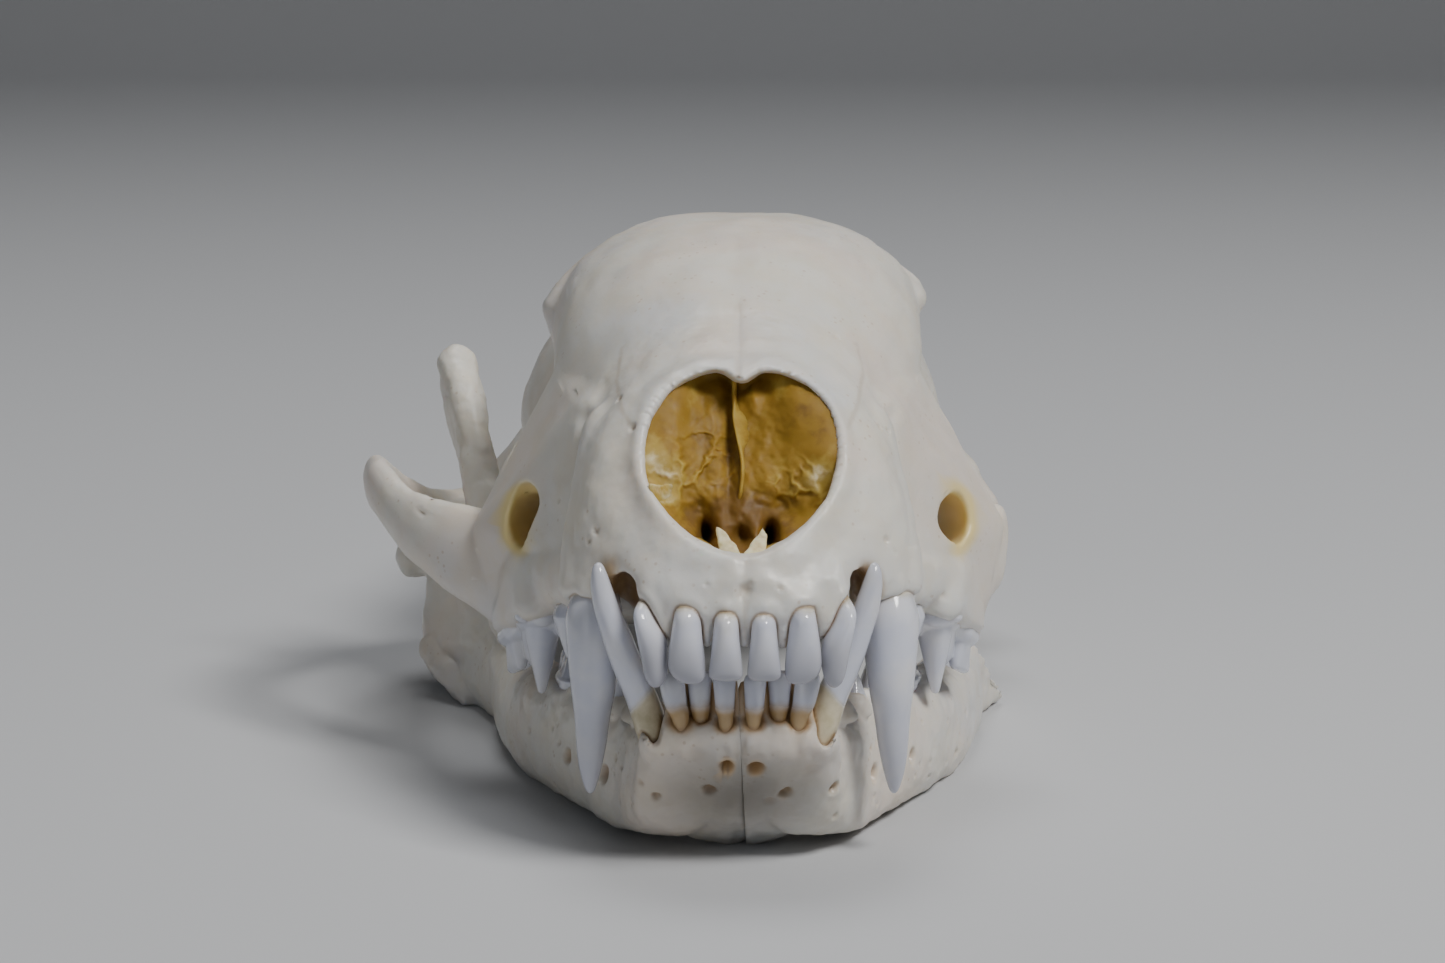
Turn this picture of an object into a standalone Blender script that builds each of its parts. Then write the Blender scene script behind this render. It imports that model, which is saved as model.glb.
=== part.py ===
"""A striped skunk's skull with the jaw closed, life size, lying as it rests on a floor.

Bones are modelled in millimetres in the skull's own frame: X to the animal's left, Y back from
the front of the first upper incisors, Z up from the gum line of those incisors. The last step
tips the skull back until chin and jaw angles share one floor, and scales it to metres.
"""
import math

import bmesh
import bpy
import numpy as np
from mathutils import Matrix, Vector

MM = 0.001
NAME = "skunk_skull"

# Resting pose: nose-up pitch, floor height in the skull's frame at Y = 0, and the frame's centre
PITCH = math.radians(7.5)
FLOOR = -14.4
CENTRE_X = -2.644
CENTRE_Y = 34.626

# Overall sizes of the cranium
BACK = 67.5
FRONTAL_TOP = 21.4
ARCH_REACH = 22.0
MASTOID_REACH = 16.3

# Gap kept between bones that touch in life, and the half gap at the chin's suture
GAP = 0.5
SUTURE = 0.16

# Fineness of the clay-like joining of forms, and triangles left in each bone before its teeth
VOXEL = 0.34
SMOOTHING = 4
CRANIUM_TRIANGLES = 7300
JAW_TRIANGLES = 1900

# Cranium sections: Y, half width, bottom Z, Z of the widest level, top Z, upper and lower power
CRANIUM_SECTIONS = (
    (-0.5, 2.8, -0.3, 0.8, 1.9, 2.0, 2.4),
    (0.6, 4.8, -0.6, 1.0, 4.2, 2.0, 2.6),
    (2.6, 6.5, -0.6, 1.3, 7.6, 2.0, 2.6),
    (5.0, 8.5, -0.5, 2.2, 10.8, 2.0, 3.0),
    (7.4, 8.9, -0.2, 3.6, 12.9, 2.1, 3.0),
    (11.0, 8.7, 0.2, 5.2, 14.7, 2.2, 3.0),
    (15.0, 9.4, 0.4, 7.0, 16.9, 2.2, 2.8),
    (20.0, 10.4, 0.8, 10.8, 19.3, 2.1, 2.2),
    (25.0, 10.7, 1.4, 13.4, 20.8, 2.1, 1.8),
    (31.0, 10.9, 2.0, 13.8, FRONTAL_TOP, 2.2, 1.7),
    (36.5, 9.9, 2.6, 12.4, 21.1, 2.0, 1.8),
    (43.0, 11.8, 2.6, 9.2, 20.2, 1.85, 2.2),
    (50.0, 13.4, 2.6, 7.8, 19.0, 1.8, 2.6),
    (57.0, 13.6, 2.6, 7.6, 17.6, 1.9, 2.8),
    (63.0, 12.4, 2.8, 8.0, 16.2, 2.0, 2.8),
    (BACK, 9.6, 3.4, 8.2, 14.6, 2.1, 2.6),
)

# Upper jaw's tooth-bearing block: Y, half width, bottom Z, Z of the widest level, top Z, powers
ALVEOLAR_SECTIONS = (
    (4.4, 8.4, -0.3, 1.0, 3.0, 2.2, 2.6),
    (7.0, 9.2, -0.6, 1.0, 3.4, 2.4, 3.4),
    (11.0, 10.2, -1.1, 1.0, 3.6, 2.4, 3.6),
    (16.0, 12.6, -1.8, 0.6, 3.8, 2.4, 3.6),
    (21.0, 14.2, -2.4, 0.2, 3.4, 2.6, 3.6),
    (25.0, 14.1, -2.4, 0.0, 3.0, 2.6, 3.6),
    (28.4, 10.8, -1.6, 0.4, 2.8, 2.4, 2.6),
)

# Right cheek arch: place on the right side as X, Y, Z and its half sizes across, along and up
ARCH = (
    (13.4, 21.6, 0.6, 1.3, 1.8, 3.4),
    (16.3, 23.2, 1.7, 1.0, 1.3, 2.7),
    (19.1, 26.2, 2.9, 0.9, 1.1, 2.0),
    (21.4, 30.5, 4.9, 0.85, 1.0, 1.7),
    (ARCH_REACH, 35.5, 5.5, 0.85, 1.0, 1.45),
    (22.0, 40.0, 4.6, 0.9, 1.0, 1.3),
    (20.9, 44.2, 3.4, 1.1, 1.1, 1.2),
    (18.4, 47.6, 2.7, 1.4, 1.5, 1.1),
    (13.6, 49.4, 3.4, 1.8, 2.2, 1.5),
)

# Nose opening: half width, its lobes' top, its lowest point, and how deep it is open
NOSE_HALF = 5.0
NOSE_TOP = 12.5
NOSE_LOW = 2.9
NOSE_DEPTH = 13.0

# Jaw joint: the condyle's middle, half length across and radius
CONDYLE = Vector((18.7, 47.0, -0.5))
CONDYLE_HALF = 2.6
CONDYLE_RADIUS = 1.3

# Lower jaw body: Y, middle X, half thickness, bottom Z, top Z
JAW_SECTIONS = (
    (3.6, 2.6, 2.4, -9.0, -6.4),
    (5.2, 3.2, 2.7, -11.4, -6.2),
    (7.6, 4.0, 2.6, -12.7, -6.0),
    (10.4, 5.2, 2.3, -12.8, -5.8),
    (14.5, 7.3, 2.3, -12.3, -5.6),
    (19.5, 9.4, 2.4, -12.0, -5.5),
    (25.0, 11.2, 2.4, -11.5, -5.4),
    (30.5, 12.5, 2.1, -10.8, -5.0),
    (36.0, 13.9, 1.5, -9.9, -4.0),
    (40.5, 16.3, 1.1, -9.3, -3.2),
    (44.0, 18.6, 0.9, -8.4, -4.8),
)

# The left jaw is broken off above and behind this slanting plane
BREAK = (15.0, 36.0, -5.6)
BREAK_NORMAL = (0.25, 0.5, 1.0)

# Incisors of one side: gum X, Y and Z, width, depth and crown height. The upper ones stand this
# much to the left of the skull's middle.
INCISOR_SHIFT = 0.28
UPPER_INCISORS = (
    (0.92, -0.15, 0.35, 1.5, 1.9, 3.95),
    (2.85, 0.15, 0.5, 1.85, 2.0, 4.2),
    (4.62, 0.75, 0.9, 1.5, 1.9, 5.1),
)

# Canines: gum point, middle and tip, then half sizes across and along the row
UPPER_CANINE = ((7.7, 6.4, 1.4), (8.0, 5.7, -3.4), (7.9, 6.5, -10.2), 1.5, 1.8)

# Cheek teeth: kind, gum X, Y and Z, length along the row, width, crown height
UPPER_CHEEK = (
    ("premolar", 8.5, 9.3, -0.4, 2.5, 1.6, 2.0),
    ("premolar", 9.5, 12.4, -0.8, 3.7, 2.0, 3.0),
    ("blade", 11.9, 17.5, -1.5, 6.8, 2.4, 4.4),
    ("molar", 10.1, 24.0, -2.2, 5.8, 6.2, 1.9),
)

LOWER_INCISORS = (
    (0.82, 2.3, -6.0, 1.25, 1.3, 2.3),
    (2.05, 3.1, -6.0, 1.4, 1.4, 2.4),
    (3.45, 2.7, -6.0, 1.55, 1.5, 2.5),
)
LOWER_CANINE = ((4.5, 4.6, -6.9), (6.05, 3.5, -2.6), (7.45, 2.5, 2.4), 1.25, 1.35)
LOWER_CHEEK = (
    ("premolar", 5.5, 8.6, -6.1, 2.0, 1.3, 1.4),
    ("premolar", 6.3, 11.2, -5.9, 2.6, 1.5, 1.9),
    ("premolar", 7.4, 14.4, -5.7, 3.2, 1.7, 2.3),
    ("carnassial", 9.6, 20.6, -5.6, 8.8, 2.6, 2.9),
    ("premolar", 11.8, 26.9, -5.5, 2.6, 2.2, 0.8),
)


def mesh_object(name, bm):
    """A new object in the scene that takes over the given bmesh."""
    mesh = bpy.data.meshes.new(name)
    bmesh.ops.recalc_face_normals(bm, faces=bm.faces)
    bm.to_mesh(mesh)
    bm.free()
    obj = bpy.data.objects.new(name, mesh)
    bpy.context.scene.collection.objects.link(obj)
    return obj


def apply_modifiers(obj):
    """Keep an object's evaluated shape and drop its modifiers."""
    graph = bpy.context.evaluated_depsgraph_get()
    shape = bpy.data.meshes.new_from_object(obj.evaluated_get(graph))
    obj.modifiers.clear()
    obj.data = shape
    return obj


def smooth_rows(rows, steps):
    """Rows of numbers with Catmull-Rom values between them, steps to a span."""
    rows = np.array(rows, float)
    padded = np.vstack((2 * rows[0] - rows[1], rows, 2 * rows[-1] - rows[-2]))
    out = []
    for i in range(1, len(padded) - 2):
        a, b, c, d = padded[i - 1:i + 3]
        for k in range(steps):
            t = k / steps
            out.append(0.5 * (2 * b + (c - a) * t + (2 * a - 5 * b + 4 * c - d) * t ** 2
                              + (3 * b - a - 3 * c + d) * t ** 3))
    out.append(rows[-1])
    return out


def skin_rings(bm, rings):
    """A closed body through rings with the same number of points each."""
    verts = [[bm.verts.new(p) for p in ring] for ring in rings]
    count = len(rings[0])
    for low, high in zip(verts, verts[1:]):
        for i in range(count):
            j = (i + 1) % count
            bm.faces.new((low[i], low[j], high[j], high[i]))
    bm.faces.new(reversed(verts[0]))
    bm.faces.new(verts[-1])


def section(y, half, low, wide, top, upper, lower, count=40):
    """One rounded ring across the skull at Y."""
    ring = []
    for i in range(count):
        angle = 2 * math.pi * i / count
        c, s = math.cos(angle), math.sin(angle)
        power, height = (upper, top - wide) if s >= 0 else (lower, wide - low)
        x = half * math.copysign(abs(c) ** (2 / power), c)
        z = wide + height * math.copysign(abs(s) ** (2 / power), s)
        ring.append((x, y, z))
    return ring


def add_loft(bm, sections, steps=4):
    """A body through a list of cross sections."""
    skin_rings(bm, [section(*row) for row in smooth_rows(sections, steps)])


def add_blobs(bm, *blobs):
    """The tight skin round ellipsoids, each X, Y, Z, then one radius or three."""
    for x, y, z, *radii in blobs:
        size = radii * 3 if len(radii) == 1 else radii
        place = Matrix.Translation((x, y, z)) @ Matrix.Diagonal((*size, 1))
        bmesh.ops.create_icosphere(bm, subdivisions=3, radius=1, matrix=place)
    if len(blobs) > 1:
        bmesh.ops.delete(bm, geom=bm.edges[:] + bm.faces[:], context="EDGES_FACES")
        bmesh.ops.convex_hull(bm, input=bm.verts[:])
        inner = [v for v in bm.verts if not v.link_faces]
        bmesh.ops.delete(bm, geom=inner, context="VERTS")


def add_chain(bm, blobs):
    """Ellipsoids joined one to the next, as a bent rod of changing thickness."""
    for pair in zip(blobs, blobs[1:]):
        part = bmesh.new()
        add_blobs(part, *pair)
        append(bm, part)


def append(bm, part):
    """Move one bmesh's faces into another."""
    mesh = bpy.data.meshes.new("piece")
    part.to_mesh(mesh)
    part.free()
    bm.from_mesh(mesh)
    bpy.data.meshes.remove(mesh)


def hull(bm, *blobs):
    """One convex lump added to a bmesh."""
    part = bmesh.new()
    add_blobs(part, *blobs)
    append(bm, part)


def sides(*blobs):
    """The same blobs on the left and on the right."""
    for sign in (1, -1):
        yield [(sign * b[0], *b[1:]) for b in blobs]


def fuse(obj, voxel):
    """Join all overlapping bodies of an object into one skin, like clay."""
    remesh = obj.modifiers.new("join", "REMESH")
    remesh.mode = "VOXEL"
    remesh.voxel_size = voxel
    return apply_modifiers(obj)


def cut(obj, cutter):
    """Cut one object by another and remove the cutter."""
    boolean = obj.modifiers.new("cut", "BOOLEAN")
    boolean.operation = "DIFFERENCE"
    boolean.solver = "MANIFOLD"
    boolean.object = cutter
    apply_modifiers(obj)
    bpy.data.objects.remove(cutter)
    return obj


def soften(obj, times):
    """Round off the steps that joining leaves."""
    smooth = obj.modifiers.new("smooth", "SMOOTH")
    smooth.factor = 0.5
    smooth.iterations = times
    return apply_modifiers(obj)


def thin_out(obj, triangles):
    """Reduce an object to about this many triangles."""
    obj.data.calc_loop_triangles()
    decimate = obj.modifiers.new("reduce", "DECIMATE")
    decimate.ratio = triangles / len(obj.data.loop_triangles)
    decimate.use_collapse_triangulate = True
    return apply_modifiers(obj)


def keep_largest(obj):
    """Keep only the closed surface with the largest volume."""
    bm = bmesh.new()
    bm.from_mesh(obj.data)
    todo, islands = set(bm.faces), []
    while todo:
        stack = [todo.pop()]
        island = []
        while stack:
            face = stack.pop()
            island.append(face)
            for edge in face.edges:
                for other in edge.link_faces:
                    if other in todo:
                        todo.discard(other)
                        stack.append(other)
        islands.append(island)
    islands.sort(key=lambda faces: sum(f.calc_center_median().dot(f.normal) * f.calc_area()
                                       for f in faces))
    for island in islands[:-1]:
        bmesh.ops.delete(bm, geom=island, context="FACES")
    bm.to_mesh(obj.data)
    bm.free()
    return obj


def nose_outline(scale=1.0, count=48):
    """The heart-like edge of the nose opening, as X and Z."""
    middle = (NOSE_TOP + NOSE_LOW) / 2 + 0.3
    points = []
    for i in range(count):
        angle = 2 * math.pi * (i + 0.5) / count
        c, s = math.cos(angle), math.sin(angle)
        x = NOSE_HALF * math.copysign(abs(c) ** (0.95 if s >= 0 else 1.2), c)
        if s >= 0:
            notch = 0.6 * math.exp(-(x / 0.8) ** 2)
            z = middle + (NOSE_TOP - middle) * s ** 0.8 - notch
        else:
            z = middle - (middle - NOSE_LOW) * abs(s) ** 1.1
        points.append((x * scale, middle + (z - middle) * scale))
    return points


def nose_cutter():
    """The hollow of the nose, narrowing as it goes in."""
    bm = bmesh.new()
    steps = ((-6.0, 1.0), (6.0, 1.0), (9.0, 1.02), (NOSE_DEPTH - 1, 0.9), (NOSE_DEPTH, 0.7))
    rings = [[(x, y, z) for x, z in nose_outline(scale)] for y, scale in steps]
    skin_rings(bm, rings)
    return bm


def add_nose_inside(bm):
    """Septum, vomer and scroll bones standing in the nose hollow."""
    add_chain(bm, [(0.0, 8.6, 12.4, 0.35, 1.0, 0.6), (-0.25, 7.6, 10.5, 0.3, 1.0, 0.6),
                   (0.0, 7.0, 7.5, 0.3, 1.0, 0.6), (0.1, 6.4, 4.6, 0.35, 1.2, 0.6),
                   (0.0, 5.4, 2.4, 0.6, 1.4, 0.7)])
    hull(bm, (0, 9.0, 12.2, 0.3), (0, 7.0, 2.6, 0.5), (0, 15, 12.0, 0.3), (0, 15, 2.6, 0.5))
    for side in sides((0.5, 5.4, 3.4, 0.4), (1.4, 5.0, 4.4, 0.3), (0.4, 9.0, 3.6, 0.5)):
        hull(bm, *side)
    for side in sides((4.7, 7.6, 6.2, 0.4), (2.4, 8.2, 6.8, 0.4), (4.7, 13.0, 6.0, 0.5),
                      (2.4, 13.5, 6.8, 0.5)):
        hull(bm, *side)
    for side in sides((4.6, 8.4, 9.2, 0.4), (2.6, 8.8, 9.8, 0.4), (4.6, 13.5, 9.0, 0.5),
                      (2.6, 13.5, 9.8, 0.5)):
        hull(bm, *side)


def add_face(bm):
    """Cheek plates in front of the eyes, canine swellings and the brow's corners."""
    for side in sides((9.6, 20.4, 11.6, 1.0), (14.2, 20.8, 3.2, 1.0), (13.4, 21.4, -0.6, 1.2),
                      (12.8, 25.0, -0.6, 1.2), (6.6, 13.0, 9.0, 2.6), (7.6, 12.0, 2.2, 1.8)):
        hull(bm, *side)
    for side in sides((13.4, 21.4, 0.0, 1.2), (12.9, 21.8, -2.5, 1.1, 1.4, 1.1),
                      (12.4, 25.0, -2.0, 1.2, 1.4, 1.1)):
        hull(bm, *side)
    for side in sides((7.7, 6.6, 0.9, 1.6, 1.9, 1.6), (7.2, 9.2, 7.0, 1.5, 1.8, 2.0)):
        hull(bm, *side)
    hull(bm, (-3.9, 2.4, 0.2, 1.2, 1.2, 0.9), (4.3, 2.4, 0.2, 1.2, 1.2, 0.9),
         (-4.4, 4.4, 0.6, 1.2, 1.6, 1.0), (4.6, 4.4, 0.6, 1.2, 1.6, 1.0))
    for x, y in ((-3.5, 0.6), (-1.62, 0.2), (0.28, 0.0), (2.18, 0.2), (4.06, 0.6)):
        hull(bm, (x, y + 0.2, -1.0, 0.36, 0.5, 0.4), (x, y, 1.2, 0.6), (x, y + 2.0, 0.0, 0.7))
    for side in sides((10.0, 31.0, 15.9, 1.2, 2.0, 0.9), (7.6, 34.0, 17.4, 1.3)):
        hull(bm, *side)
    hull(bm, (-10.4, 31.0, 15.7, 1.4, 2.0, 1.0), (-9.8, 31.0, 13.8, 1.3, 2.0, 1.0))


def add_arches(bm):
    """The whole arch on the right, and the stumps that are left of the left one."""
    add_chain(bm, [(-x, *rest) for x, *rest in ARCH])
    hull(bm, (13.0, 21.4, 1.0, 1.3, 1.8, 3.2), (15.0, 22.2, 1.9, 0.6, 1.0, 2.5))
    hull(bm, (12.6, 48.4, 3.4, 1.8, 2.6, 1.4), (16.0, 47.6, 2.7, 0.5, 2.0, 0.9))
    hull(bm, (-13.0, 47.2, 2.6, 1.8, 3.0, 1.1), (-20.4, 47.0, 2.3, 1.2, 2.2, 0.8))
    hull(bm, (-14.0, 49.8, 2.0, 1.2, 0.9, 2.6), (-18.6, 49.4, 1.4, 1.0, 0.8, 1.6))


def add_skull_back(bm):
    """Crests, mastoids, ear capsules, occipital condyles and the processes beside them."""
    add_chain(bm, [(0, 39, 20.6, 0.9, 1, 0.6), (0, 50, 19.4, 0.6, 1, 0.7),
                   (0, 60, 17.4, 0.5, 1, 0.9), (0, 68, 15.8, 0.7, 1, 1.0)])
    for side in sides((0, 68.2, 15.6, 1.0), (6.0, 67.8, 14.6, 0.8), (11.0, 65.6, 12.0, 0.8),
                      (12.9, 61.8, 7.6, 0.9), (MASTOID_REACH - 1.0, 57.4, 4.4, 1.2)):
        add_chain(bm, side)
    for side in sides((13.0, 57.0, 4.6, 2.7), (MASTOID_REACH, 57.0, 2.2, 1.4),
                      (12.0, 62.0, 6.0, 2.6)):
        hull(bm, *side)
    for side in sides((8.4, 56.0, 2.0, 4.6, 5.6, 2.2), (12.6, 54.0, 3.0, 3.4, 2.0, 1.7)):
        hull(bm, *side)
    for side in sides((11.4, 62.6, 1.2, 0.8), (10.6, 62.0, 4.6, 1.8)):
        hull(bm, *side)
    for side in sides((3.2, 65.4, 3.2, 1.8, 2.0, 1.6), (5.2, 68.4, 5.6, 1.7, 1.9, 2.5)):
        hull(bm, *side)


def add_skull_base(bm):
    """The bony roof of the throat with its two hanging plates and hooks."""
    for side in sides((4.6, 27.0, 1.0, 0.8, 1, 1.6), (4.2, 36.0, 1.4, 0.55, 1, 2.2),
                      (4.0, 41.0, 0.6, 0.5, 1, 2.0), (3.8, 44.2, -1.4, 0.5, 0.7, 0.6)):
        add_chain(bm, side)
    hull(bm, (0, 26, 3.2, 5.0, 2, 1.2), (0, 50, 3.4, 5.0, 2, 1.2))


def canine_room():
    """Blobs round the closed lower canine, drawn out forwards, that clear the upper jaw's edge."""
    root, middle, tip, across, along = LOWER_CANINE
    for t in (0.45, 0.75, 1.0):
        x, y, z = (root[i] * (1 - t) ** 2 + middle[i] * 2 * t * (1 - t) + tip[i] * t ** 2
                   for i in range(3))
        for forward in (0, 2.5):
            yield (x, y - forward, z, across + GAP, along + GAP, across + 0.2)


def cranium_cutters():
    """Every hollow cut into the cranium, as one bmesh."""
    bm = nose_cutter()
    for side in sides((12.9, 12.0, 4.0, 1.0, 1, 1.6), (11.6, 23.0, 4.8, 1.0, 1, 1.6)):
        hull(bm, *side)
    for side in sides(*canine_room()):
        hull(bm, *side)
    for side in sides((12.2, 26.5, 8.0, 4.6, 6.0, 4.6), (13.6, 36.0, 9.0, 4.4, 6.0, 5.0)):
        hull(bm, *side)
    hull(bm, (0, 8.5, -2.6, 4.6, 3.0, 3.0), (0, 25.0, -3.2, 6.4, 3.0, 3.6),
         (0, 31.5, -3.2, 4.6, 3.0, 3.6))
    hull(bm, (0, 26.0, 1.4, 2.6, 4.0, 0.9), (0, 46.0, 0.6, 3.2, 2.0, 1.8))
    for side in sides((1.7, 4.2, -1.5, 0.7, 1.2, 1), (1.7, 5.2, 3.0, 0.6, 0.9, 1)):
        hull(bm, *side)
    hull(bm, (0, 62.0, 7.9, 3.8, 3.0, 2.9), (0, 73.0, 7.4, 4.0, 3.0, 3.1))
    for side in sides((17.5, 53.6, 3.0, 1.0, 1.0, 1.0), (12.0, 54.2, 3.0, 0.9, 0.9, 0.9)):
        hull(bm, *side)
    return bm


def jaw_sockets():
    """Room for the condyles, open downwards."""
    bm = bmesh.new()
    reach = CONDYLE_HALF + GAP
    radius = CONDYLE_RADIUS + GAP
    for side in sides(*((CONDYLE.x + dx, CONDYLE.y, CONDYLE.z + dz, 0.8, radius, radius)
                        for dx in (-reach, reach) for dz in (0, -5))):
        hull(bm, *side)
    return bm


def make_cranium():
    """The cranium without its teeth."""
    bm = bmesh.new()
    for sections in (CRANIUM_SECTIONS, ALVEOLAR_SECTIONS):
        part = bmesh.new()
        add_loft(part, sections)
        append(bm, part)
    add_face(bm)
    add_skull_back(bm)
    bone = fuse(mesh_object("cranium", bm), VOXEL)
    cut(bone, fuse(mesh_object("hollows", cranium_cutters()), VOXEL))
    bm = bmesh.new()
    bm.from_mesh(bone.data)
    add_nose_inside(bm)
    add_skull_base(bm)
    add_arches(bm)
    bm.to_mesh(bone.data)
    bm.free()
    fuse(bone, VOXEL)
    cut(bone, mesh_object("jaw_sockets", jaw_sockets()))
    fuse(bone, VOXEL)
    return thin_out(soften(bone, SMOOTHING), CRANIUM_TRIANGLES)


def jaw_section(y, x, half, low, top, count=28):
    """One ring of the lower jaw's body, a tall rounded bar."""
    ring = []
    middle, height = (low + top) / 2, (top - low) / 2
    for i in range(count):
        angle = 2 * math.pi * i / count
        c, s = math.cos(angle), math.sin(angle)
        ring.append((x + half * math.copysign(abs(c) ** 0.75, c), y,
                     middle + height * math.copysign(abs(s) ** 0.75, s)))
    return ring


def make_jaw(name, sign):
    """One half of the lower jaw without its teeth; the left one has lost its upper ramus."""
    bm = bmesh.new()
    whole = sign < 0
    sections = JAW_SECTIONS if whole else JAW_SECTIONS[:-1]
    skin_rings(bm, [jaw_section(*row) for row in smooth_rows(sections, 4)])
    hull(bm, (0.4, 2.9, -6.9, 1.2), (0.4, 9.6, -12.2, 1.2), (4.0, 3.3, -6.9, 1.2),
         (2.6, 9.0, -12.2, 1.0), (0.4, 11.0, -9.0, 1.2), (0.4, 6.0, -11.0, 0.8))
    hull(bm, (4.4, 4.8, -7.4, 1.5, 1.8, 1.2), (4.6, 7.2, -10.0, 1.5, 2.0, 1.6))
    if whole:
        hull(bm, (13.4, 32.6, -4.4, 0.9), (16.2, 41.4, -2.0, 0.8), (15.5, 38.0, 4.6, 1.0),
             (16.5, 43.2, 4.6, 0.95))
        hull(bm, (15.5, 38.0, 4.6, 1.0), (16.5, 43.2, 4.6, 0.95), (17.1, 40.4, 10.4, 1.2),
             (17.5, 43.4, 10.0, 1.1), (17.7, 42.1, 12.0, 1.4))
        hull(bm, (14.8, 37.0, -5.0, 0.8), (16.6, 43.2, 3.0, 0.8), (18.8, 45.2, -1.8, 1.1),
             (19.0, 44.0, -5.4, 1.0))
        hull(bm, (CONDYLE.x - CONDYLE_HALF, CONDYLE.y, CONDYLE.z, 0.8, CONDYLE_RADIUS,
                  CONDYLE_RADIUS),
             (CONDYLE.x + CONDYLE_HALF, CONDYLE.y, CONDYLE.z, 0.8, CONDYLE_RADIUS,
              CONDYLE_RADIUS))
        hull(bm, (18.5, 44.8, -2.4, 1.0), (CONDYLE.x, CONDYLE.y - 0.4, CONDYLE.z - 0.4, 1.6, 1, 1))
        hull(bm, (19.2, 43.0, -6.0, 1.0), (18.8, 45.4, -7.4, 0.9), (16.8, 40.0, -8.6, 0.9))
    else:
        hull(bm, (13.4, 33.0, -6.0, 0.9), (14.8, 37.0, -7.0, 0.8), (15.8, 40.8, -7.6, 0.5),
             (14.0, 34.0, -8.8, 0.8))
    if sign < 0:
        bmesh.ops.scale(bm, vec=(-1, 1, 1), verts=bm.verts)
        bmesh.ops.reverse_faces(bm, faces=bm.faces)
    bone = fuse(mesh_object(name, bm), VOXEL)
    if not whole:
        trim(bone, BREAK, BREAK_NORMAL)
    thin_out(soften(bone, SMOOTHING), JAW_TRIANGLES)
    return trim(bone, (sign * SUTURE, 0, 0), (-sign, 0, 0))


def trim(obj, point, normal):
    """Cut off what lies past a plane and close the cut."""
    bm = bmesh.new()
    bm.from_mesh(obj.data)
    geom = bm.verts[:] + bm.edges[:] + bm.faces[:]
    bmesh.ops.bisect_plane(bm, geom=geom, dist=1e-5, plane_co=point, plane_no=normal,
                           clear_outer=True)
    edges = [e for e in bm.edges if e.is_boundary]
    bmesh.ops.triangle_fill(bm, edges=edges, use_beauty=True, use_dissolve=False)
    bmesh.ops.recalc_face_normals(bm, faces=bm.faces)
    bm.to_mesh(obj.data)
    bm.free()
    return obj


def tooth_rings(points, sizes, count=10):
    """A tapering body along points, each ring with a half size across and along the row."""
    bm = bmesh.new()
    rings = []
    for (x, y, z), (across, along) in zip(points, sizes):
        rings.append([(x + across * math.cos(a), y + along * math.sin(a), z)
                      for a in (2 * math.pi * i / count for i in range(count))])
    skin_rings(bm, rings)
    return bm


def incisor(x, y, z, wide, deep, tall, up):
    """A chisel-like front tooth; up is 1 for the lower jaw and -1 for the upper."""
    levels = ((-0.45, 0.28, 0.36), (0.0, 0.36, 0.46), (0.45, 0.46, 0.44), (0.8, 0.5, 0.34),
              (0.96, 0.42, 0.22), (1.0, 0.30, 0.14))
    points = [(x * (1 + 0.03 * t), y + deep * (0.9 if t < 0 else -0.1 * t), z + up * t * tall)
              for t, _, _ in levels]
    return tooth_rings(points, [(a * wide, b * deep) for _, a, b in levels])


def canine(root, middle, tip, across, along, up):
    """A long curved eye tooth through three named points."""
    root, middle, tip = Vector(root), Vector(middle), Vector(tip)
    points, sizes = [], []
    for i in range(-2, 9):
        t = i / 8
        place = root * (1 - t) ** 2 + middle * 2 * t * (1 - t) + tip * t ** 2
        if t < 0:
            place = root + (root - middle) * -t * 1.6
        full = math.sqrt(max(0.03, 1 - max(t, 0) ** 2.0))
        points.append(place)
        sizes.append((across * full, along * full))
    return tooth_rings(points, sizes, 12)


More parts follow.
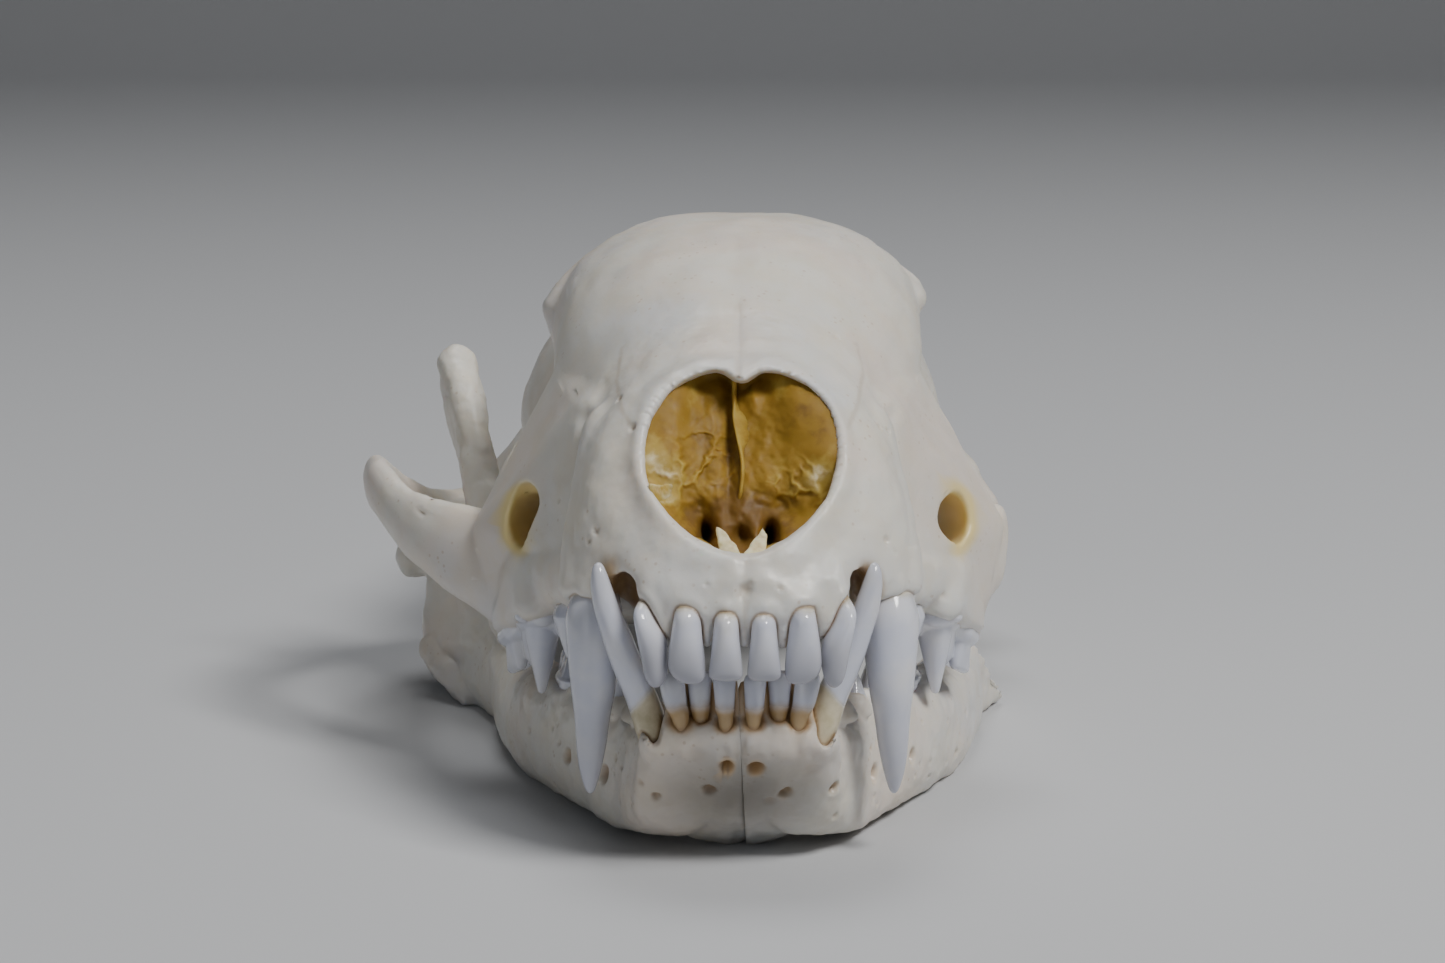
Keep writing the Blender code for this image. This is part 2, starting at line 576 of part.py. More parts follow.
def cheek_tooth(kind, x, y, z, length, width, tall, up):
    """A cheek tooth: a low swollen base with one to four cusps."""
    bm = bmesh.new()
    half, side = length / 2, width / 2
    base = (x, y, z + up * tall * 0.1)
    if kind == "premolar":
        hull(bm, (*base[:2], z - up * 0.9, side * 0.85, half * 0.8, 0.5),
             (*base, side, half, 0.5), (x, y - 0.1 * length, z + up * (tall - 0.25), 0.25))
    elif kind == "blade":
        front, notch, rear = y - 0.1 * length, y + 0.16 * length, y + 0.36 * length
        hull(bm, (*base[:2], z - up * 0.9, side * 0.8, half * 0.85, 0.5),
             (*base, side, half, 0.55), (x, notch, z + up * tall * 0.4, side * 0.5, half * 0.7, 0.3))
        hull(bm, (x, front, z, side, half * 0.55, 0.5), (x, front, z + up * (tall - 0.3), 0.3))
        hull(bm, (x, rear, z, side * 0.9, half * 0.3, 0.5),
             (x, rear, z + up * tall * 0.55, 0.35), (x, notch, z + up * tall * 0.38, 0.4))
        hull(bm, (x - 0.3, y - 0.2 * length, z, side, half * 0.5, 0.5),
             (x - 2.0, y - 0.24 * length, z + up * 0.4, 0.8, 1.0, 0.5))
    elif kind == "carnassial":
        front, blade, heel = y - 0.3 * length, y - 0.02 * length, y + 0.32 * length
        hull(bm, (*base[:2], base[2] - up * 0.9, side * 0.7, half * 0.85, 0.5),
             (*base, side, half, 0.5))
        hull(bm, (x - 0.1, front, z, side * 0.8, 1.6, 0.5),
             (x, front, z + up * (tall * 0.75 - 0.3), 0.3), (x, blade, z, side * 0.9, 1.4, 0.5),
             (x, blade, z + up * tall * 0.6, 0.3))
        hull(bm, (x, blade, z, side * 0.9, 1.5, 0.5), (x, blade, z + up * (tall - 0.3), 0.3),
             (x, heel, z, side, 1.4, 0.6))
    else:
        hull(bm, (*base[:2], base[2] - up * 0.9, side * 0.8, half * 0.8, 0.5),
             (x + 0.5, y, base[2], side, half, 0.5), (x - 1.0, y + 0.3, base[2], side, half, 0.4))
        for dx, dy in ((1.7, -1.3), (1.9, 1.2), (-1.6, -0.4)):
            hull(bm, (x + dx, y + dy, z, 1.2, 1.2, 0.5),
                 (x + dx, y + dy, z + up * (tall - 0.35), 0.3))
    return bm


def tooth_row(sign, incisors, canine_sizes, cheek, up):
    """All teeth of one side of one jaw, each a closed mesh object."""
    shapes = [incisor(*row, up) for row in incisors]
    shapes.append(canine(*canine_sizes, up))
    shapes += [cheek_tooth(*row, up) for row in cheek]
    teeth = []
    for i, bm in enumerate(shapes):
        if sign < 0:
            bmesh.ops.scale(bm, vec=(-1, 1, 1), verts=bm.verts)
        if up < 0 and i < 3:
            bmesh.ops.translate(bm, vec=(INCISOR_SHIFT, 0, 0), verts=bm.verts)
        tooth = mesh_object("tooth", bm)
        if i > 3:
            fuse(tooth, 0.16)
            soften(tooth, 2)
            thin_out(tooth, 110)
        teeth.append(tooth)
    return teeth


def join_teeth(bone, teeth):
    """Unite a bone with the teeth that grow from it."""
    group = bpy.data.collections.new("teeth")
    for tooth in teeth:
        group.objects.link(tooth)
    union = bone.modifiers.new("teeth", "BOOLEAN")
    union.operation = "UNION"
    union.operand_type = "COLLECTION"
    union.collection = group
    union.solver = "MANIFOLD"
    apply_modifiers(bone)
    for tooth in teeth:
        bpy.data.objects.remove(tooth)
    bpy.data.collections.remove(group)
    return keep_largest(bone)


def bone_material(name, colour, roughness):
    """Dry cleaned bone."""
    material = bpy.data.materials.new(name)
    material.use_nodes = True
    shader = material.node_tree.nodes["Principled BSDF"]
    shader.inputs["Base Color"].default_value = (*colour, 1)
    shader.inputs["Roughness"].default_value = roughness
    shader.inputs["Metallic"].default_value = 0.0
    return material


def place(obj, material, collection):
    """Tip a finished bone into its resting pose, scale it to metres and give it its looks."""
    for user in obj.users_collection:
        user.objects.unlink(obj)
    collection.objects.link(obj)
    tip = Matrix.Rotation(-PITCH, 4, "X")
    move = Matrix.Translation((-CENTRE_X, -CENTRE_Y, -FLOOR))
    obj.data.transform(Matrix.Scale(MM, 4) @ move @ tip)
    obj.data.materials.clear()
    obj.data.materials.append(material)
    obj.data.shade_smooth()


def build():
    """Make the three bones and set them on the floor."""
    for obj in list(bpy.data.objects):
        bpy.data.objects.remove(obj)
    collection = bpy.data.collections.new(NAME)
    bpy.context.scene.collection.children.link(collection)
    bone = bone_material("bone", (0.80, 0.76, 0.68), 0.5)

    cranium = make_cranium()
    teeth = [tooth for sign in (1, -1)
             for tooth in tooth_row(sign, UPPER_INCISORS, UPPER_CANINE, UPPER_CHEEK, -1)]
    join_teeth(cranium, teeth)
    place(cranium, bone, collection)

    floor_normal = Matrix.Rotation(PITCH, 3, "X") @ Vector((0, 0, -1))
    floor_point = Matrix.Rotation(PITCH, 3, "X") @ Vector((0, 0, FLOOR))
    for name, sign in (("mandible_left", 1), ("mandible_right", -1)):
        jaw = make_jaw(name, sign)
        join_teeth(jaw, tooth_row(sign, LOWER_INCISORS, LOWER_CANINE, LOWER_CHEEK, 1))
        trim(jaw, floor_point, floor_normal)
        place(jaw, bone, collection)


build()
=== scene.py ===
import math
import random

import bmesh
import bpy
import numpy as np
from mathutils import Matrix, Vector
from mathutils.bvhtree import BVHTree
from mathutils.kdtree import KDTree
from mathutils.noise import fractal


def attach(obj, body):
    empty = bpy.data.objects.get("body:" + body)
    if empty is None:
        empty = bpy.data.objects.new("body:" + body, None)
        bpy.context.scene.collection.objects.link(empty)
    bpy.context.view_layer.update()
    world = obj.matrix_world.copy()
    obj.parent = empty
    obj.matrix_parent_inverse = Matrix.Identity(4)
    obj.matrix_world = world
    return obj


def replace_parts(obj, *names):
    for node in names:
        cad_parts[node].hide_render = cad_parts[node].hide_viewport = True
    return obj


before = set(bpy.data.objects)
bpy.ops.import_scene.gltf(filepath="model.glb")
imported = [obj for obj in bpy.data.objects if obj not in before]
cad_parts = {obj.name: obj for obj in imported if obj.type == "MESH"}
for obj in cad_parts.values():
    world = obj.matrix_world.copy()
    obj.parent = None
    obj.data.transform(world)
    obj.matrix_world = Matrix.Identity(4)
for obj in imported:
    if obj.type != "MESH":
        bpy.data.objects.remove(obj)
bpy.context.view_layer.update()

BODY = "root"

MM = 0.001
PITCH = math.radians(7.5)
FLOOR = -14.4
CENTRE_X = -2.644
CENTRE_Y = 34.626
TO_FRAME = (Matrix.Scale(MM, 4) @ Matrix.Translation((-CENTRE_X, -CENTRE_Y, -FLOOR))
            @ Matrix.Rotation(-PITCH, 4, "X"))

# Fineness of the joined pieces, and the most triangles that a bone or a cheek tooth keeps
CRANIUM_VOXEL = 0.16
JAW_VOXEL = 0.13
TOOTH_VOXEL = 0.075
BLADE_VOXEL = 0.05
BONE_TRIANGLES = 190000
TOOTH_TRIANGLES = 5000

# The photograph's camera: frame and focal length in pixels, tilt downwards, and place
PHOTO_WIDTH, PHOTO_HEIGHT = 1445, 963
FOCAL = 3600
TILT = math.radians(3)
EYE = Vector((-0.9, 0, 6.86)) - 185.0 * Vector((0, math.cos(TILT), -math.sin(TILT)))

# Cranium sections: Y, half width, bottom Z, Z of the widest level, top Z, upper and lower power
CRANIUM_SECTIONS = (
    (-0.5, 2.8, -0.3, 0.8, 1.9, 2.0, 2.4),
    (0.6, 4.8, -0.6, 1.0, 4.2, 2.0, 2.6),
    (2.6, 6.5, -0.6, 1.3, 7.6, 2.0, 2.6),
    (5.0, 8.5, -0.5, 2.2, 10.8, 2.0, 3.0),
    (7.4, 8.9, -0.2, 3.6, 12.9, 2.1, 3.0),
    (11.0, 8.7, 0.2, 5.2, 14.7, 2.2, 3.0),
    (15.0, 9.4, 0.4, 7.0, 16.9, 2.2, 2.8),
    (20.0, 10.4, 0.8, 10.8, 19.3, 2.1, 2.2),
    (25.0, 10.7, 1.4, 13.4, 20.8, 2.1, 1.8),
    (31.0, 10.9, 2.0, 13.8, 21.4, 2.4, 1.7),
    (36.5, 9.9, 2.6, 12.4, 21.1, 2.0, 1.8),
    (43.0, 11.8, 2.6, 9.2, 20.2, 1.85, 2.2),
    (50.0, 13.6, 2.6, 8.2, 19.0, 2.05, 2.6),
    (57.0, 13.6, 2.6, 7.8, 17.6, 2.05, 2.8),
    (63.0, 12.4, 2.8, 8.0, 16.2, 2.0, 2.8),
    (67.5, 9.6, 3.4, 8.2, 14.6, 2.1, 2.6),
)

# Upper jaw's tooth-bearing block: the same measures
ALVEOLAR_SECTIONS = (
    (4.4, 8.4, -0.3, 1.0, 3.0, 2.2, 2.6),
    (7.0, 9.2, -0.6, 1.0, 3.4, 2.4, 3.4),
    (11.0, 10.2, -1.1, 1.0, 3.6, 2.4, 3.6),
    (16.0, 12.6, -1.8, 0.6, 3.8, 2.4, 3.6),
    (21.0, 14.2, -2.4, 0.2, 3.4, 2.6, 3.6),
    (25.0, 14.1, -2.4, 0.0, 3.0, 2.6, 3.6),
    (28.4, 10.8, -1.6, 0.4, 2.8, 2.4, 2.6),
)

# Right cheek arch: X, Y, Z and half sizes across, along and up
ARCH = (
    (13.4, 21.6, 0.6, 1.3, 1.8, 3.4),
    (16.3, 23.2, 1.7, 1.0, 1.3, 2.7),
    (19.1, 26.2, 2.9, 0.9, 1.1, 2.0),
    (21.4, 30.5, 4.9, 0.85, 1.0, 1.7),
    (22.0, 35.5, 5.35, 0.85, 1.0, 1.3),
    (22.0, 40.0, 4.6, 0.9, 1.0, 1.3),
    (20.9, 44.2, 3.4, 1.1, 1.1, 1.2),
    (18.4, 47.6, 2.7, 1.4, 1.5, 1.1),
    (13.6, 49.4, 3.4, 1.8, 2.2, 1.5),
)

# Nose opening: half width, its lobes' top, its lowest point, and how deep the hollow goes
NOSE_HALF = 5.22
NOSE_SHIFT = 0.09
NOSE_TOP = 12.5
NOSE_LOW = 2.9
NOSE_DEPTH = 16.0
NOSE_MIDDLE = (NOSE_TOP + NOSE_LOW) / 2 + 0.3

# Jaw joint
CONDYLE = Vector((18.7, 47.0, -0.5))
CONDYLE_HALF = 2.45
CONDYLE_RADIUS = 1.3
SOCKET_GAP = 0.5

# Lower jaw body: Y, middle X, half thickness, bottom Z, top Z
JAW_SECTIONS = (
    (3.6, 2.4, 2.3, -9.0, -6.4),
    (5.2, 2.9, 2.45, -11.3, -6.2),
    (7.6, 3.8, 2.5, -12.6, -6.0),
    (10.4, 5.2, 2.3, -12.8, -5.8),
    (14.5, 7.3, 2.3, -12.3, -5.6),
    (19.5, 9.4, 2.4, -12.0, -5.5),
    (25.0, 11.2, 2.4, -11.5, -5.4),
    (30.5, 12.5, 2.1, -10.8, -5.0),
    (36.0, 13.9, 1.5, -9.9, -4.0),
    (40.5, 16.3, 1.1, -9.3, -3.2),
    (44.0, 18.6, 0.9, -8.4, -4.8),
)
# Where the left jaw broke, and how far each half stays from the middle of the chin
BREAK = (15.0, 36.0, -5.6)
BREAK_NORMAL = (0.25, 0.5, 1.0)
BREAK_LOWER = 0.45
SUTURE = 0.004

# How far pieces stand to the left of the skull's middle
INCISOR_SHIFT = 0.26
CANINE_SHIFT = 0.15
LOWER_CANINE_SHIFT = -0.17
BRAINCASE_SHIFT = -0.35


# ---- making and joining forms


def add_object(name, data):
    """A new object in the scene."""
    obj = bpy.data.objects.new(name, data)
    bpy.context.scene.collection.objects.link(obj)
    return obj


def mesh_object(name, bm):
    """A new object in the scene that takes over the given bmesh."""
    mesh = bpy.data.meshes.new(name)
    bmesh.ops.recalc_face_normals(bm, faces=bm.faces)
    bm.to_mesh(mesh)
    bm.free()
    return add_object(name, mesh)


def gather(*objects):
    """The meshes of objects in one bmesh."""
    bm = bmesh.new()
    for obj in objects:
        bm.from_mesh(obj.data)
    return bm


def apply_modifiers(obj):
    """Keep an object's evaluated shape and drop its modifiers and vertex groups."""
    graph = bpy.context.evaluated_depsgraph_get()
    shape = bpy.data.meshes.new_from_object(obj.evaluated_get(graph))
    obj.modifiers.clear()
    obj.data = shape
    obj.vertex_groups.clear()
    return obj


def change(obj, kind, spared=None, **settings):
    """Apply one modifier; spared is a weight for each vertex, and near 1 it stays as it is."""
    modifier = obj.modifiers.new("change", kind)
    for key, value in settings.items():
        setattr(modifier, key, value)
    if spared is not None:
        group = obj.vertex_groups.new(name="spared")
        levels = np.round(np.clip(spared, 0, 1) * 15).astype(int)
        for level in range(1, 16):
            group.add(np.flatnonzero(levels == level).tolist(), level / 15, "REPLACE")
        modifier.vertex_group = group.name
        modifier.invert_vertex_group = True
    return apply_modifiers(obj)


def smooth_rows(rows, steps):
    """Rows of numbers with Catmull-Rom values between them, steps to a span."""
    rows = np.array(rows, float)
    padded = np.vstack((2 * rows[0] - rows[1], rows, 2 * rows[-1] - rows[-2]))
    out = []
    for i in range(1, len(padded) - 2):
        a, b, c, d = padded[i - 1:i + 3]
        for k in range(steps):
            t = k / steps
            out.append(0.5 * (2 * b + (c - a) * t + (2 * a - 5 * b + 4 * c - d) * t ** 2
                              + (3 * b - a - 3 * c + d) * t ** 3))
    out.append(rows[-1])
    return out


def skin_rings(bm, rings):
    """A closed body through rings with the same number of points each."""
    verts = [[bm.verts.new(p) for p in ring] for ring in rings]
    count = len(rings[0])
    for low, high in zip(verts, verts[1:]):
        for i in range(count):
            j = (i + 1) % count
            bm.faces.new((low[i], low[j], high[j], high[i]))
    bm.faces.new(reversed(verts[0]))
    bm.faces.new(verts[-1])
    return bm


def turns(count, start=0.0):
    """Cosine and sine of evenly spaced angles all round."""
    angles = [2 * math.pi * (i + start) / count for i in range(count)]
    return [(math.cos(angle), math.sin(angle)) for angle in angles]


def bulge(value, power):
    """A cosine or sine raised to a power, with its sign kept."""
    return math.copysign(abs(value) ** power, value)


def section(y, half, low, wide, top, upper, lower):
    """One rounded ring across the skull at Y."""
    ring = []
    for c, s in turns(64):
        power, height = (upper, top - wide) if s >= 0 else (lower, wide - low)
        ring.append((half * bulge(c, 2 / power), y, wide + height * bulge(s, 2 / power)))
    return ring


def hull(bm, *blobs):
    """The tight skin round ellipsoids, each X, Y, Z, then one radius or three."""
    part = bmesh.new()
    for x, y, z, *radii in blobs:
        size = radii * 3 if len(radii) == 1 else radii
        place = Matrix.Translation((x, y, z)) @ Matrix.Diagonal((*size, 1))
        bmesh.ops.create_icosphere(part, subdivisions=3, radius=1, matrix=place)
    if len(blobs) > 1:
        bmesh.ops.delete(part, geom=part.edges[:] + part.faces[:], context="EDGES_FACES")
        bmesh.ops.convex_hull(part, input=part.verts[:])
        inner = [v for v in part.verts if not v.link_faces]
        bmesh.ops.delete(part, geom=inner, context="VERTS")
    mesh = bpy.data.meshes.new("piece")
    part.to_mesh(mesh)
    part.free()
    bm.from_mesh(mesh)
    bpy.data.meshes.remove(mesh)


def chain(bm, blobs):
    """Ellipsoids joined one to the next, as a bent rod of changing thickness."""
    for pair in zip(blobs, blobs[1:]):
        hull(bm, *pair)


def mirrored(places, sign, shift=0):
    """Points or blobs as they are, or with left and right swapped where sign is -1."""
    return [(sign * x + shift, *rest) for x, *rest in places]


def sides(*blobs):
    """The same blobs on the left and on the right."""
    return mirrored(blobs, 1), mirrored(blobs, -1)


def both(bm, *blobs, shift=0):
    """A hull on the left and the same on the right."""
    for sign in (1, -1):
        hull(bm, *mirrored(blobs, sign, shift))


def mirror(bm):
    """Swap left and right."""
    bmesh.ops.scale(bm, vec=(-1, 1, 1), verts=bm.verts)
    bmesh.ops.reverse_faces(bm, faces=bm.faces)


def fuse(obj, voxel):
    """Join all overlapping bodies of an object into one skin, like clay."""
    return change(obj, "REMESH", mode="VOXEL", voxel_size=voxel)


def cut(obj, cutter):
    """Cut one object by another and remove the cutter."""
    change(obj, "BOOLEAN", operation="DIFFERENCE", solver="MANIFOLD", object=cutter)
    bpy.data.objects.remove(cutter)


def soften(obj, times, spared=None):
    """Round off the steps that joining leaves."""
    change(obj, "SMOOTH", spared, factor=0.5, iterations=times)


def thin_out(obj, triangles, spared=None):
    """Reduce an object to about this many triangles, last of all where it is spared."""
    obj.data.calc_loop_triangles()
    now = len(obj.data.loop_triangles)
    if now > triangles:
        change(obj, "DECIMATE", spared, ratio=triangles / now, use_collapse_triangulate=True,
               vertex_group_factor=1.0 if spared is None else 0.02)


def trim(obj, point, normal):
    """Cut off what lies past a plane and close the cut."""
    bm = gather(obj)
    geom = bm.verts[:] + bm.edges[:] + bm.faces[:]
    bmesh.ops.bisect_plane(bm, geom=geom, dist=1e-5, plane_co=point, plane_no=normal,
                           clear_outer=True)
    edges = [e for e in bm.edges if e.is_boundary]
    bmesh.ops.triangle_fill(bm, edges=edges, use_beauty=True, use_dissolve=False)
    bmesh.ops.recalc_face_normals(bm, faces=bm.faces)
    bm.to_mesh(obj.data)
    bm.free()


# ---- fine work on a bone's surface


def points_of(obj, kind="co"):
    """Vertex places, or their normals, as an array."""
    out = np.zeros(len(obj.data.vertices) * 3, np.float32)
    obj.data.vertices.foreach_get(kind, out)
    return out.reshape(-1, 3).astype(float)


def place_points(obj, co):
    """Move an object's vertices to these places."""
    obj.data.vertices.foreach_set("co", co.astype(np.float32).ravel())
    obj.data.update()


def swell(obj, height):
    """Raise the surface by a height given for each vertex."""
    place_points(obj, points_of(obj) + points_of(obj, "normal") * height[:, None])


def path_distance(points, path):
    """Distance from each point to a line through the path's points."""
    best = np.full(len(points), 1e9)
    path = np.array(path, float)
    for a, b in zip(path, path[1:]):
        line = b - a
        t = np.clip(((points - a) @ line) / max(line @ line, 1e-9), 0, 1)
        best = np.minimum(best, np.linalg.norm(points - a - t[:, None] * line, axis=1))
    return best


def carve(obj, strokes):
    """Raise or press the surface along paths: each stroke is a path, its width and its height."""
    co = points_of(obj)
    swell(obj, sum(height * np.exp(-(path_distance(co, path) / width) ** 2)
                   for path, width, height in strokes))


def grain(points, size):
    """Soft random waves of a size, at each point."""
    return np.array([fractal(Vector(p) / size, 0.8, 2.0, 3) for p in points])


def roughen(obj, size, height, where=1):
    """Small natural unevenness; where is an optional weight for each vertex."""
    swell(obj, grain(points_of(obj), size) * where * height)


def mark(obj, name, values):
    """Store one number, or one for each vertex, for the material to read."""
    attribute = obj.data.attributes.new(name, "FLOAT", "POINT")
    attribute.data.foreach_set("value", np.full(len(obj.data.vertices), values, np.float32))


def tree_of(*objects):
    """A search tree of the surface of one or more objects."""
    bm = gather(*objects)
    tree = BVHTree.FromBMesh(bm)
    bm.free()
    return tree


def tooth_distance(obj, teeth, reach=1.2):
    """Signed distance from each vertex to the nearest tooth, held within reach."""
    tree = tree_of(*teeth)
    out = np.full(len(obj.data.vertices), reach)
    for i, vertex in enumerate(obj.data.vertices):
        near, normal, _, distance = tree.find_nearest(vertex.co, reach)
        if near is not None:
            out[i] = distance if (vertex.co - near).dot(normal) > 0 else -distance
    return out


def step(values, low, high):
    """Smooth 0 to 1 as values go from low to high."""
    t = np.clip((values - low) / (high - low), 0, 1)
    return t * t * (3 - 2 * t)


# ---- places named by where the photograph shows them


def sight(px, py):
    """The direction in which the photograph's camera sees a pixel of its frame."""
    right, up = (px - PHOTO_WIDTH / 2) / FOCAL, (PHOTO_HEIGHT / 2 - py) / FOCAL
    return Vector((right, math.cos(TILT) + up * math.sin(TILT),
                   -math.sin(TILT) + up * math.cos(TILT))).normalized()


def met(tree, start, way):
    """The point where a surface is met from a start: a list of one, or of none if it is missed."""
    spot = tree.ray_cast(Vector(start), Vector(way))[0]
    return [] if spot is None else [tuple(spot)]


def on_face(tree, line):
    """Points on a bone that lie behind the given pixels; misses are left out."""
    return [spot for px, py in line for spot in met(tree, EYE, sight(px, py))]


def pit(obj, places):
    """Press small holes into a surface: each is a point, a radius and a depth. Give back a mark
    that is higher where a hole is deeper, which the material paints brown: painted shade, partly
    stain.
    """
    co, no = points_of(obj), points_of(obj, "normal")
    shift = np.zeros_like(co)
    deep_shade_and_stain = np.zeros(len(co))
    for point, radius, depth in places:
        away = np.linalg.norm(co - np.array(point), axis=1)
        share = np.exp(-(away / radius) ** 4)
        near = away < radius * 1.3
        if near.any():
            normal = no[near].mean(axis=0)
            shift -= share[:, None] * normal / max(np.linalg.norm(normal), 1e-6) * depth
            deep_shade_and_stain = np.maximum(deep_shade_and_stain, share * min(1.0, abs(depth) * 1.4))
    place_points(obj, co + shift)
    return deep_shade_and_stain


# ---- the cranium


def nose_edge(c, s):
    """A point of the heart-like edge of the nose opening, from its middle, as X and Z."""
    x = NOSE_HALF * bulge(c, 0.95 if s >= 0 else 1.2)
    if s >= 0:
        return x, (NOSE_TOP - NOSE_MIDDLE) * s ** 0.8 - 0.75 * math.exp(-(x / 0.7) ** 2)
    return x, -(NOSE_MIDDLE - NOSE_LOW) * abs(s) ** 1.1


def nose_ring(y, scale, count=96):
    """The nose opening's edge, made larger or smaller, at a depth."""
    edge = [nose_edge(*turn) for turn in turns(count, 0.5)]
    return [(NOSE_SHIFT + x * scale, y, NOSE_MIDDLE + z * scale) for x, z in edge]


def rim_y(z):
    """How far back the nose opening's edge lies at a height."""
    return np.interp(z, (2.0, 2.9, 5.0, 8.0, 11.0, 13.0), (0.4, 1.0, 2.4, 4.4, 6.6, 8.6))


def rim_line(scale):
    """A closed line that runs round the nose opening on its sloping plane."""
    ring = nose_ring(0, scale, 72)
    return [(x, float(rim_y(z)), z) for x, _, z in ring + ring[:1]]


def in_nose(points):
    """0 outside the nose hollow, rising to 1 as a point lies inside and further back."""
    x, y, z = points[:, 0] - NOSE_SHIFT, points[:, 1], points[:, 2] - NOSE_MIDDLE
    ring = np.array([nose_edge(math.cos(a), math.sin(a))
                     for a in np.linspace(-math.pi, math.pi, 721)])
    angle = np.arctan2(ring[:, 1], ring[:, 0])
    order = np.argsort(angle)
    edge = np.interp(np.arctan2(z, x), angle[order], np.hypot(*ring.T)[order])
    inside = 1 - step(np.hypot(x, z) / edge, 1.05, 1.16)
    return inside * step(y - rim_y(points[:, 2]), 0.4, 2.4) * (y < NOSE_DEPTH + 1.0)


def cranium_cutters():
    """Every hollow cut into the cranium, as one bmesh."""
    steps = ((-6.0, 1.0), (6.0, 1.0), (9.0, 1.04), (NOSE_DEPTH - 3, 1.08), (NOSE_DEPTH, 0.9))
    bm = skin_rings(bmesh.new(), [nose_ring(*row) for row in steps])
    hull(bm, (-12.45, 12.0, 5.1, 0.85, 1, 0.95), (-13.6, 12.0, 3.0, 0.9, 1, 1.0),
         (-11.8, 16.5, 4.8, 0.95, 1, 1.1), (-12.9, 16.5, 3.2, 0.95, 1, 1.1))
    hull(bm, (12.8, 12.0, 4.0, 1.35, 1, 1.3), (12.0, 16.5, 4.0, 1.35, 1, 1.4))
    for side in sides((11.9, 16.4, 3.9, 1.3, 1, 1.5), (10.5, 20.5, 3.4, 1.3, 1.2, 1.6),
                      (9.4, 25.0, 3.4, 1.2, 1.2, 1.5)):
        chain(bm, side)
    both(bm, (12.2, 26.5, 8.0, 4.6, 6.0, 4.6), (13.6, 36.0, 9.0, 4.4, 6.0, 5.0))
    hull(bm, (0, 8.5, -2.6, 4.6, 3.0, 3.0), (0, 25.0, -3.2, 6.4, 3.0, 3.6),
         (0, 31.5, -3.2, 4.6, 3.0, 3.6))
    hull(bm, (0, 26.0, 1.4, 2.6, 4.0, 0.9), (0, 46.0, 0.6, 3.2, 2.0, 1.8))
    both(bm, (1.7, 4.4, -1.5, 0.7, 1.2, 1), (1.7, 5.4, 2.0, 0.6, 0.9, 1))
    hull(bm, (0, 58.0, 7.9, 4.6, 3.0, 3.6), (0, 64.0, 7.9, 3.9, 3.0, 3.0),
         (0, 73.0, 7.4, 4.0, 3.0, 3.1))
    both(bm, (17.5, 53.6, 3.0, 1.0, 1.0, 1.0), (12.0, 54.2, 3.0, 0.9, 0.9, 0.9))
    both(bm, (5.2, 30.5, 4.6, 0.9, 1.2, 0.7), (4.0, 38.0, 4.4, 0.7, 1.0, 0.6))
    both(bm, (9.6, 43.0, 3.2, 0.7, 0.8, 0.6), (7.0, 47.0, 3.0, 0.6, 0.8, 0.6))
    return bm


def jaw_sockets():
    """Room for the condyles, open downwards."""
    bm = bmesh.new()
    reach = CONDYLE_HALF + 0.15 + SOCKET_GAP
    radius = CONDYLE_RADIUS + SOCKET_GAP
    both(bm, *((CONDYLE.x + dx, CONDYLE.y, CONDYLE.z + dz, 0.8, radius, radius)
               for dx in (-reach, reach) for dz in (0, -5)))
    return bm


def canine_rooms():
    """Hollows between corner incisor and upper canine, where the lower canines close."""
    bm = bmesh.new()
    for sign in (1, -1):
        wide = 0.0 if sign > 0 else 0.32
        rows = smooth_rows(LOWER_CANINE, 2)[7:]
        for x, y, z, across, along in rows[::2]:
            size = (across + 0.26, along + 0.3, across + 0.18)
            x = sign * x + LOWER_CANINE_SHIFT
            hull(bm, (x, y, z, *size), (x, y - 3.0, z, *size))
        hull(bm, (sign * (6.1 - wide * 0.6), 3.8, 0.7, 0.55 + wide, 2.2, 1.35),
             (sign * (6.25 - wide * 0.5), 0.0, 0.7, 0.6 + wide, 1.2, 1.45))
        hull(bm, (sign * (6.0 - wide * 0.4), 5.0, -1.0, 0.8 + wide, 1.0, 1.2),
             (sign * (6.0 - wide * 0.4), 0.0, -1.6, 0.9 + wide, 1.0, 1.2))
        shift = sign * 7.78 + CANINE_SHIFT
        hull(bm, (shift, 5.9, -0.25, 2.0, 2.3, 0.8), (shift, 5.9, -3.0, 2.0, 2.3, 0.8))
    return bm


def tooth_collars(bm):
    """The socket edge round the upper front teeth, with points of bone between them."""
    for x, y, low in ((-3.78, 0.80, -1.30), (-1.72, 0.32, -1.62), (0.26, 0.16, -1.62),
                      (2.24, 0.32, -1.62), (4.30, 0.80, -1.30)):
        hull(bm, (x, y + 0.30, low, 0.17, 0.5, 0.18), (x, y + 0.05, -0.1, 0.36, 0.62, 0.3),
             (x, y + 0.35, 1.7, 0.75, 0.9, 0.7), (x, y + 1.8, -0.3, 0.5, 0.7, 0.5))
    for x, y, z, half in ((0.97, -0.02, 0.34, 0.60), (2.96, 0.24, 0.62, 0.66)):
        both(bm, (x, y, z, half + 0.12, 0.72, 0.42), (x, y + 0.9, z + 1.9, half, 0.8, 0.9),
             (x, y + 1.9, z - 0.2, half, 0.9, 0.5), shift=INCISOR_SHIFT)
    both(bm, (4.08, 0.85, -1.0, 0.18, 0.5, 0.18), (4.30, 0.66, 0.1, 0.28, 0.55, 0.3),
         (4.95, 1.00, 1.05, 0.42, 0.6, 0.36), (4.5, 1.7, 2.4, 0.8, 0.9, 0.8),
         shift=INCISOR_SHIFT)
    both(bm, (4.2, 1.15, 0.2, 0.35, 0.5, 0.35), (4.1, 1.0, 1.6, 0.5, 0.6, 0.5),
         shift=INCISOR_SHIFT)


